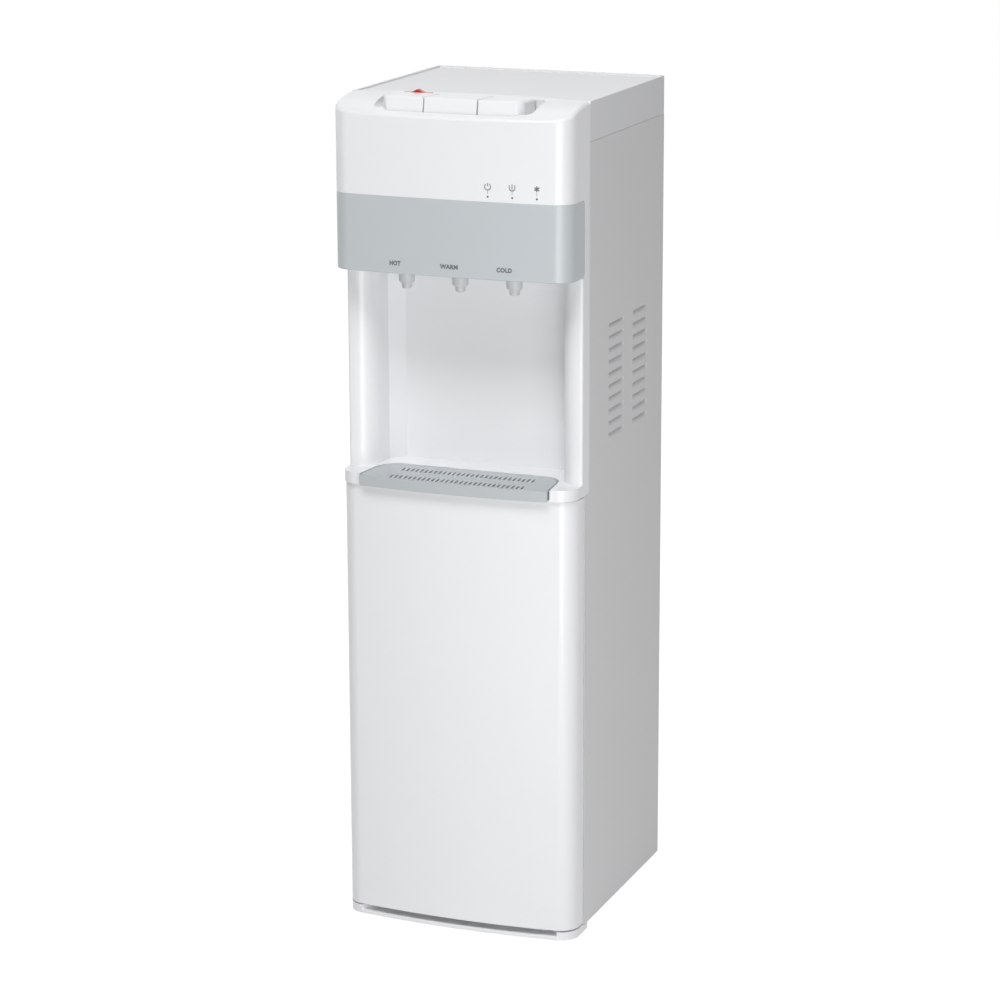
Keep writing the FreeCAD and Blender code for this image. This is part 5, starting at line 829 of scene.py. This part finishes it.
        def corner(column: int, row: int, leaf: bool) -> int:
            """Number of a grid point, which is made on first use."""
            pressed = leaf and 0 < row - 1 and 1 < column < across + 1
            key = (column, row, pressed)
            if key not in found:
                share = along[column] / self.louvre_length
                height = levels[row] / self.louvre_window
                plateau = 1 - abs(2 * share - 1) ** self.louvre_ends
                dip = self.louvre_dip * height ** self.louvre_curl * plateau if pressed else 0.0
                found[key] = len(points)
                points.append((-side * dip, along[column], levels[row]))
            return found[key]

        faces = []
        for column in range(across + 2):
            for row in range(up + 2):
                leaf = 0 < column < across + 1 and 0 < row < up + 1
                face = [corner(column, row, leaf), corner(column, row + 1, leaf),
                        corner(column + 1, row + 1, leaf), corner(column + 1, row, leaf)]
                faces.append(face if side > 0 else face[::-1])
        return new_object("louvre_template", mesh_of("louvre_tile", points, faces=faces))

    def screws(self) -> None:
        """Pan heads with a cross recess, one at each hole of the back panel."""
        seats = [(sign * self.screw_x, self.seat, self.screw_first + row * self.screw_pitch)
                 for sign in (1, -1) for row in range(self.screw_rows)]
        head = self.screw_head()
        recipe = Recipe("Screw heads", {"Head Size": 1.0})
        size = recipe.inputs["Head Size"]
        recipe.close(recipe.copies(head, recipe.vector(size, size, size)),
                     FINISHES["plain_steel"])
        item = recipe.bake("panel_screw_heads", mesh_of("screw_seats", seats))
        bpy.data.objects.remove(head)
        item.data.shade_smooth()
        dress(item, FINISHES["plain_steel"], "cabinet", ["panel_screws"])

    def screw_head(self) -> bpy.types.Object:
        """One pan head that faces +Y, with its recess."""
        steps = 32
        turns = [2 * math.pi * n / steps for n in range(steps)]
        profile = [(self.head_radius, 0.0), (self.head_radius, 0.9), (3.2, 1.45), (2.5, 1.85),
                   (1.5, self.head_height)]
        recess = [(1.25, 0.45, self.head_height), (0.5, 0.3, self.head_height - 1.2)]
        rings = [([radius] * steps, height) for radius, height in profile]
        rings += [([far if n % 8 == 0 else near for n in range(steps)], height)
                  for far, near, height in recess]
        points = [(radius * math.cos(turn), height, radius * math.sin(turn))
                  for radii, height in rings for radius, turn in zip(radii, turns)]
        faces = [(ring + n, ring + steps + n, ring + steps + (n + 1) % steps,
                  ring + (n + 1) % steps)
                 for ring in range(0, len(points) - steps, steps) for n in range(steps)]
        faces += [tuple(reversed(range(len(points) - steps, len(points)))), tuple(range(steps))]
        mesh = mesh_of("screw_head", points, faces=faces)
        shape = bmesh.new()
        shape.from_mesh(mesh)
        bmesh.ops.recalc_face_normals(shape, faces=shape.faces)
        shape.to_mesh(mesh)
        shape.free()
        return new_object("screw_head_template", mesh)


@dataclass
class Head:
    """Fascia, grey band and what is printed on them."""

    label_low: float = 850.3
    label_high: float = 856.2
    label_weight: float = 0.06
    label_spacing: float = 1.08
    labels: dict[str, Point] = field(default_factory=lambda: {
        "HOT": (-76.3, -61.4), "WARM": (-10.0, 13.5), "COLD": (62.8, 82.6)})
    symbol_level: float = 952.8
    symbol_radius: float = 4.4
    symbol_x: Sequence[float] = (52.1, 82.9, 113.7)
    symbol_stroke: float = 1.4
    star_stroke: float = 1.5
    leader_stroke: float = 0.7
    lift: float = 0.06
    corner: float = 24.6
    lip_level: float = 932.8
    lip_height: float = 3.2
    lip_sink: float = 0.45
    lip_wall: float = 1.4
    lip_rear: float = -118.0
    well_y: float = -135.0
    well_half: float = 92.3
    well_reach: float = 30.7
    well_corner: float = 17.3
    bowl_near: float = 89.0
    bowl_reach: float = 27.0
    bowl_floor: float = 1034.5
    bowl_wall: float = 2.0
    bowl_height: float = 13.0

    def build(self) -> None:
        """Make the fascia, the band and the print."""
        finish_node("upper_fascia")
        finish_node("tap_panel")
        for word, (left, right) in self.labels.items():
            self.label(word, left, right)
        self.symbols()
        self.lip()
        self.bowl_corners()

    def label(self, word: str, left: float, right: float) -> None:
        """Print one word on the grey band.

        Args:
            word: the word.
            left: its left end.
            right: its right end.
        """
        curve = bpy.data.curves.new(f"label_{word}", "FONT")
        curve.body = word
        curve.resolution_u = 4
        curve.offset = self.label_weight
        curve.space_character = self.label_spacing
        text = new_object(f"label_{word}_text", curve)
        bpy.context.view_layer.update()
        graph = bpy.context.evaluated_depsgraph_get()
        mesh = bpy.data.meshes.new_from_object(text.evaluated_get(graph))
        bpy.data.objects.remove(text)
        points = np.array([vertex.co[:2] for vertex in mesh.vertices])
        low, high = points.min(0), points.max(0)
        share = (points - low) / (high - low)
        for vertex, (u, v) in zip(mesh.vertices, share):
            x = left + u * (right - left)
            z = self.label_low + v * (self.label_high - self.label_low)
            vertex.co = Vector((x, FASCIA_BOW.depth(x) - self.lift, z)) * MM
        item = new_object(f"label_{word.lower()}", mesh)
        dress(item, INK, "cabinet")

    def symbols(self) -> None:
        """Print the power, heat and cold symbols with their leader lines."""
        r = self.symbol_radius
        power, heat, cold = ((x, self.symbol_level) for x in self.symbol_x)
        cup = [(-0.8 * r, 0.75 * r), *arc((0, -0.05 * r), 0.8 * r, 180, 360, 18),
               (0.8 * r, 0.75 * r)]
        bar = [(0, -0.55 * r), (0, 0.95 * r)]
        signs = [(power, arc((0, 0), 0.86 * r, 125, 415, 36)), (power, [(0, 0.15 * r), (0, r)]),
                 (heat, cup), (heat, bar)]
        star = []
        for turn in (90, 150, 210):
            u, v = (0.8 * r * share for share in (math.cos(math.radians(turn)),
                                                  math.sin(math.radians(turn))))
            star.append((cold, [(-u, -v), (u, v)]))
        leaders = [(spot, [(0, -1.1 * r), (0, -1.9 * r)]) for spot in (power, heat, cold)]
        self.strokes("panel_symbols", signs, self.symbol_stroke, SYMBOL_INK)
        self.strokes("panel_star", star, self.star_stroke, INK)
        self.strokes("panel_leaders", leaders, self.leader_stroke, SYMBOL_INK)

    def strokes(self, name: str, paths: Sequence[tuple[Point, Sequence[Point]]], width: float,
                ink: Finish) -> None:
        """Draw pen strokes on the bowed front.

        Args:
            name: name of the piece.
            paths: for each stroke its centre on the front and its points about that.
            width: width of the pen.
            ink: finish of the stroke.
        """
        points: list[tuple[float, float, float]] = []
        edges: list[tuple[int, int]] = []
        for (x, z), path in paths:
            start = len(points)
            points.extend((x + u, 0.0, z + v) for u, v in path)
            edges.extend((start + n, start + n + 1) for n in range(len(path) - 1))
        recipe = Recipe(f"Pen strokes {name}", {
            "Stroke Width": width * MM, "Bow Front": (FASCIA_BOW.front - self.lift) * MM,
            "Bow Radius": FASCIA_BOW.radius * MM})
        half = recipe.number("MULTIPLY", recipe.inputs["Stroke Width"], 0.5)
        pen = recipe.geometry("GeometryNodeCurvePrimitiveCircle", None,
                              {"Resolution": 8, "Radius": half})
        inked = recipe.geometry("GeometryNodeCurveToMesh", None,
                                {"Curve": recipe.curve(), "Profile Curve": pen,
                                 "Fill Caps": True})
        place = recipe.geometry("GeometryNodeInputPosition")
        apart = recipe.graph.add("ShaderNodeSeparateXYZ", None, {"Vector": place})
        across = recipe.number("POWER", apart.outputs["X"], 2.0)
        radius = recipe.inputs["Bow Radius"]
        reach = recipe.number("SQRT", recipe.number(
            "SUBTRACT", recipe.number("POWER", radius, 2.0), across), 0.0)
        depth = recipe.number("SUBTRACT", recipe.number("ADD", recipe.inputs["Bow Front"], radius),
                              reach)
        flat = recipe.number("MULTIPLY", apart.outputs["Y"], 0.1)
        moved = recipe.vector(apart.outputs["X"], recipe.number("ADD", depth, flat),
                              apart.outputs["Z"])
        printed = recipe.geometry("GeometryNodeSetPosition", None,
                                  {"Geometry": inked, "Position": moved})
        recipe.close(printed, ink)
        item = recipe.bake(name, mesh_of(f"{name}_strokes", points, edges=edges))
        dress(item, ink, "cabinet")

    def lip(self) -> None:
        """Lip of the grey band that reaches up behind the edge of the fascia."""
        outer, inner = (FASCIA_BOW.moved_in(sink).line(sink, self.corner - sink, self.lip_rear)
                        for sink in (self.lip_sink, self.lip_sink + self.lip_wall))
        self.slab("band_lip", [outer + inner[::-1]], self.lip_level, self.lip_height,
                  "grey_panel")

    def bowl_corners(self) -> None:
        """Floor and rear wall of the bowls beside the round corners of the button well."""
        centre = (self.well_half - self.well_corner, self.well_reach - self.well_corner)
        turn = math.degrees(math.acos((self.bowl_near - centre[0]) / self.well_corner))
        wall_radius, wall_rear = (size + self.bowl_wall
                                  for size in (self.well_corner, self.bowl_reach))
        joint = math.degrees(math.asin((wall_rear - centre[1]) / wall_radius))
        floor = [*arc(centre, self.well_corner, 0, turn, 6), (self.bowl_near, self.bowl_reach),
                 (self.well_half, self.bowl_reach)]
        wall = [(self.well_half, self.bowl_reach), (self.bowl_near, self.bowl_reach),
                *arc(centre, self.well_corner, turn, 90, 8),
                *arc(centre, wall_radius, 90, joint, 6), (self.well_half, wall_rear)]
        for name, outline, ends, level, height in (
                ("well_bowl_floors", floor, (1, -1), self.bowl_floor - self.bowl_wall,
                 self.bowl_wall),
                ("well_bowl_walls", wall, (1,), self.bowl_floor, self.bowl_height)):
            outlines = [[(across * x, self.well_y + along * y) for x, y in outline]
                        for across in (1, -1) for along in ends]
            self.slab(name, outlines, level, height, "white_panel")

    @staticmethod
    def slab(name: str, outlines: Sequence[Sequence[Point]], level: float, height: float,
             slot: str) -> None:
        """Make a level plate from plan outlines.

        Args:
            name: name of the piece.
            outlines: closed outlines in plan.
            level: its underside.
            height: its thickness.
            slot: its material slot.
        """
        seed = loops_of(f"{name}_outline", [[(x, y, 0.0) for x, y in line] for line in outlines])
        recipe = Recipe(f"Plate {name}", {"Level": level * MM, "Height": height * MM})
        finish = FINISHES[slot]
        flat = recipe.fill(recipe.curve(), recipe.inputs["Level"])
        recipe.close(recipe.plate(flat, recipe.inputs["Height"]), finish)
        item = recipe.bake(name, seed)
        even_out(item, Ease.AS_DRAWN)
        dress(item, finish, "cabinet")


@dataclass
class Controls:
    """Buttons and child lock."""

    def build(self) -> None:
        """Make the visible controls."""
        for node in ("button_hot", "button_warm", "button_cold"):
            finish_node(node, Ease.ROUND)
        finish_node("child_lock", Ease.CRISP)


@dataclass
class Alcove:
    """Columns and back of the alcove, nozzles, tray and grille."""

    half: float = 122.6
    bow: Bow = Bow(-171.0, 1073.6)
    rear: float = -97.4
    corner: float = 24.6
    side_lean: float = 6.0
    level: float = 581.5
    thickness: float = 2.0
    slot_length: float = 15.5
    slot_width: float = 2.3
    lean: float = 6.0
    pitch: float = 6.17
    columns: int = 29
    offset: float = 3.0
    row_gap: float = 37.5
    front_row: float = -158.0

    def build(self) -> None:
        """Make the alcove's pieces."""
        finish_node("alcove_panel")
        finish_node("drip_tray", Ease.CRISP)
        finish_node("nozzles")
        self.grille()

    def outline(self) -> list[Point]:
        """Edge of the grille in plan, counter-clockwise."""
        front = [(x, self.bow.depth(x)) for x in np.linspace(-self.half, self.half, 41)]
        lean = math.radians(self.side_lean)
        end = self.half - (self.rear - self.bow.depth(self.half)) * math.tan(lean)
        centre = (end - self.corner * math.tan((math.pi / 2 - lean) / 2),
                  self.rear - self.corner)
        right = arc(centre, self.corner, self.side_lean, 90, 12)
        return front + right + [(-x, y) for x, y in reversed(right)]

    def grille(self) -> None:
        """Loose grille: a plate with two rows of leaning slots."""
        seed = loops_of("grille_outline", [[(x, y, self.level) for x, y in self.outline()]])
        recipe = Recipe("Slotted grille", {
            "Slot Length": self.slot_length * MM, "Slot Width": self.slot_width * MM,
            "Lean": math.radians(self.lean), "Pitch": self.pitch * MM, "Columns": self.columns,
            "Row Gap": self.row_gap * MM, "Row Offset": self.offset * MM,
            "Rows Middle": (self.front_row + self.row_gap / 2) * MM, "Level": self.level * MM,
            "Thickness": self.thickness * MM})
        inputs = recipe.inputs
        slot = recipe.geometry("GeometryNodeCurvePrimitiveQuadrilateral", {"mode": "RECTANGLE"},
                               {"Width": inputs["Slot Width"], "Height": inputs["Slot Length"]})
        slot = recipe.geometry("GeometryNodeFilletCurve", {"mode": "POLY"}, {
            "Curve": slot, "Count": 4,
            "Radius": recipe.number("MULTIPLY", inputs["Slot Width"], 0.49)})
        gaps = recipe.number("SUBTRACT", inputs["Columns"], 1.0)
        length = recipe.number("MULTIPLY", inputs["Pitch"], gaps)
        spots = recipe.geometry("GeometryNodeMeshGrid", None, {
            "Size X": length, "Size Y": inputs["Row Gap"], "Vertices X": inputs["Columns"],
            "Vertices Y": 2})
        slots = recipe.geometry("GeometryNodeInstanceOnPoints", None, {
            "Points": spots, "Instance": slot, "Rotation": recipe.vector(z=inputs["Lean"])})
        slots = recipe.geometry("GeometryNodeTransform", None, {
            "Geometry": slots, "Translation": recipe.vector(
                inputs["Row Offset"], inputs["Rows Middle"], inputs["Level"])})
        slots = recipe.geometry("GeometryNodeRealizeInstances", None, {"Geometry": slots})
        flat = recipe.fill(recipe.join(recipe.curve(), slots), inputs["Level"])
        recipe.close(recipe.plate(flat, inputs["Thickness"]), FINISHES["grille_grey"])
        item = recipe.bake("drip_grille_plate", seed)
        even_out(item, Ease.AS_DRAWN)
        dress(item, FINISHES["grille_grey"], "grille", ["drip_grille"])


@dataclass
class Door:
    """Lower door with its inner panel and gasket."""

    half: float = 143.0
    low: float = 26.0
    high: float = 556.0
    corner: float = 8.0
    rear: float = -117.2
    bulb: float = 1.2

    def build(self) -> None:
        """Make the door's pieces."""
        finish_node("door_skin")
        finish_node("door_inner_panel", Ease.ROUND)
        self.gasket()

    def gasket(self) -> None:
        """Hollow bulb seal that runs round the rear of the door."""
        r = self.corner
        corners = ((self.half - r, self.low + r, -90), (self.half - r, self.high - r, 0),
                   (r - self.half, self.high - r, 90), (r - self.half, self.low + r, 180))
        path = [point for x, z, turn in corners for point in arc((x, z), r, turn, turn + 90, 8)]
        seed = loops_of("gasket_path", [[(x, self.rear, z) for x, z in path]])
        recipe = Recipe("Door gasket", {"Bulb Radius": self.bulb * MM})
        bulb = recipe.geometry("GeometryNodeCurvePrimitiveCircle", None,
                               {"Resolution": 12, "Radius": recipe.inputs["Bulb Radius"]})
        recipe.close(recipe.geometry("GeometryNodeCurveToMesh", None,
                                     {"Curve": recipe.curve(), "Profile Curve": bulb}), GASKET)
        item = recipe.bake("door_gasket", seed)
        item.data.shade_smooth()
        dress(item, GASKET, "door")


@dataclass
class Works:
    """What is inside the cabinet and on its back, in the CAD's shapes."""

    eased: dict[str, Ease] = field(default_factory=lambda: {
        "drain_cap_hot": Ease.SOFT, "drain_cap_cold": Ease.SOFT, "switch_housings": Ease.CRISP,
        "rocker_switch_hot": Ease.CRISP, "rocker_switch_cold": Ease.CRISP,
        "door_magnet": Ease.CRISP, "start_relay": Ease.SOFT, "water_pump": Ease.SOFT})

    def build(self) -> None:
        """Finish every node that no other assembly has finished."""
        for node, item in list(frame["nodes"].items()):
            if not item.hide_render:
                finish_node(node, self.eased.get(node, Ease.AS_DRAWN))


# Studio


@dataclass
class Lamp:
    """One soft box."""

    name: str
    azimuth: float
    elevation: float
    distance: float
    width: float
    height: float
    power: float
    target: tuple[float, float, float] = (0.0, 0.0, 0.6)

    def build(self) -> None:
        """Hang the soft box on its sphere about the target and aim it."""
        data = bpy.data.lights.new(self.name, "AREA")
        data.shape = "RECTANGLE"
        data.size, data.size_y = self.width, self.height
        data.energy = self.power
        item = bpy.data.objects.new(self.name, data)
        bpy.context.scene.collection.objects.link(item)
        turn, rise = math.radians(self.azimuth), math.radians(self.elevation)
        away = Vector((math.sin(turn) * math.cos(rise), -math.cos(turn) * math.cos(rise),
                       math.sin(rise)))
        item.location = Vector(self.target) + self.distance * away
        item.rotation_mode = "QUATERNION"
        item.rotation_quaternion = (-away).to_track_quat("-Z", "Y")
        item.visible_camera = False


@dataclass
class Studio:
    """Pale floor, even surroundings, soft boxes and the camera."""

    ambient: float = 0.205
    floor_size: float = 60.0
    floor_tone: float = 0.65
    floor_shown: float = 0.40
    floor_glow: float = 0.92
    camera_place: tuple[float, float, float] = (1.4931, -3.7821, 1.5563)
    camera_aim: tuple[float, float, float] = (0.02208, 0.0, 0.54108)
    camera_roll: float = -0.11
    lens: float = 118.68
    shift: Point = (-0.0178, -0.0124)
    lamps: list[Lamp] = field(default_factory=lambda: [
        Lamp("Front soft box", 25.0, -3.0, 1.45, 0.42, 1.0, 5.0),
        Lamp("Side soft box", 40.0, 2.0, 2.6, 0.9, 1.3, 9.6),
        Lamp("High soft box", 4.0, 58.0, 3.6, 2.0, 1.4, 71.0),
        Lamp("Rear soft box", 195.0, 58.0, 3.5, 2.0, 2.0, 7.6),
        Lamp("Left soft box", -100.0, 12.0, 3.2, 1.6, 1.6, 6.3)])

    def build(self) -> None:
        """Set the stage."""
        self.surroundings()
        self.floor()
        for lamp in self.lamps:
            lamp.build()
        self.camera()
        bpy.context.scene.view_settings.view_transform = "Standard"

    @staticmethod
    def seen(graph: Graph) -> Signal:
        """One for rays from the camera, mirrors and glass, and nought for the light itself."""
        path = graph.add("ShaderNodeLightPath")
        camera, glossy, through = (Signal(graph, path.outputs[name]) for name in (
            "Is Camera Ray", "Is Glossy Ray", "Is Transmission Ray"))
        return camera.larger(glossy).larger(through)

    def surroundings(self) -> None:
        """A white world that lights the object at a plain level."""
        world = bpy.data.worlds.new("Surroundings")
        world.use_nodes = True
        graph = Graph(world.node_tree)
        strength = self.ambient + (1.0 - self.ambient) * self.seen(graph)
        glow = graph.add("ShaderNodeBackground", None,
                         {"Color": opaque(WHITE), "Strength": strength})
        graph.add("ShaderNodeOutputWorld", None, {"Surface": glow.outputs[0]})
        bpy.context.scene.world = world

    def floor(self) -> None:
        """A pale floor that keeps the object's shadow."""
        half = self.floor_size / 2 / MM
        mesh = mesh_of("floor", [(-half, -half, 0), (half, -half, 0), (half, half, 0),
                                 (-half, half, 0)], faces=[(0, 1, 2, 3)])
        material = bpy.data.materials.new("Pale floor")
        material.use_nodes = True
        graph = Graph(material.node_tree)
        lit, shown = (graph.add("ShaderNodeBsdfDiffuse", None, {"Color": opaque((tone,) * 3)})
                      for tone in (self.floor_tone, self.floor_shown))
        glow = graph.add("ShaderNodeEmission", None,
                         {"Color": opaque(WHITE), "Strength": self.floor_glow})
        pale = graph.add("ShaderNodeAddShader", None, {0: shown.outputs[0], 1: glow.outputs[0]})
        mix = graph.add("ShaderNodeMixShader", None,
                        {0: self.seen(graph), 1: lit.outputs[0], 2: pale.outputs[0]})
        graph.add("ShaderNodeOutputMaterial", None, {"Surface": mix.outputs[0]})
        item = new_object("floor", mesh)
        item.data.materials.append(material)

    def camera(self) -> None:
        """The photograph's camera."""
        data = bpy.data.cameras.new("Camera")
        data.lens = self.lens
        data.shift_x, data.shift_y = self.shift
        item = bpy.data.objects.new("Camera", data)
        bpy.context.scene.collection.objects.link(item)
        item.location = self.camera_place
        aim = (Vector(self.camera_aim) - Vector(self.camera_place)).to_track_quat("-Z", "Y")
        roll = Matrix.Rotation(math.radians(self.camera_roll), 4, "Z").to_quaternion()
        item.rotation_mode = "QUATERNION"
        item.rotation_quaternion = aim @ roll
        bpy.context.scene.camera = item


def main() -> None:
    """Build the dispenser and its studio."""
    logging.basicConfig(level=logging.INFO, format="%(name)s: %(message)s")
    for assembly in (Casing(), Head(), Controls(), Alcove(), Door(), Works(), Studio()):
        LOG.info("building %s", type(assembly).__name__)
        assembly.build()


if __name__ == "__main__":
    main()
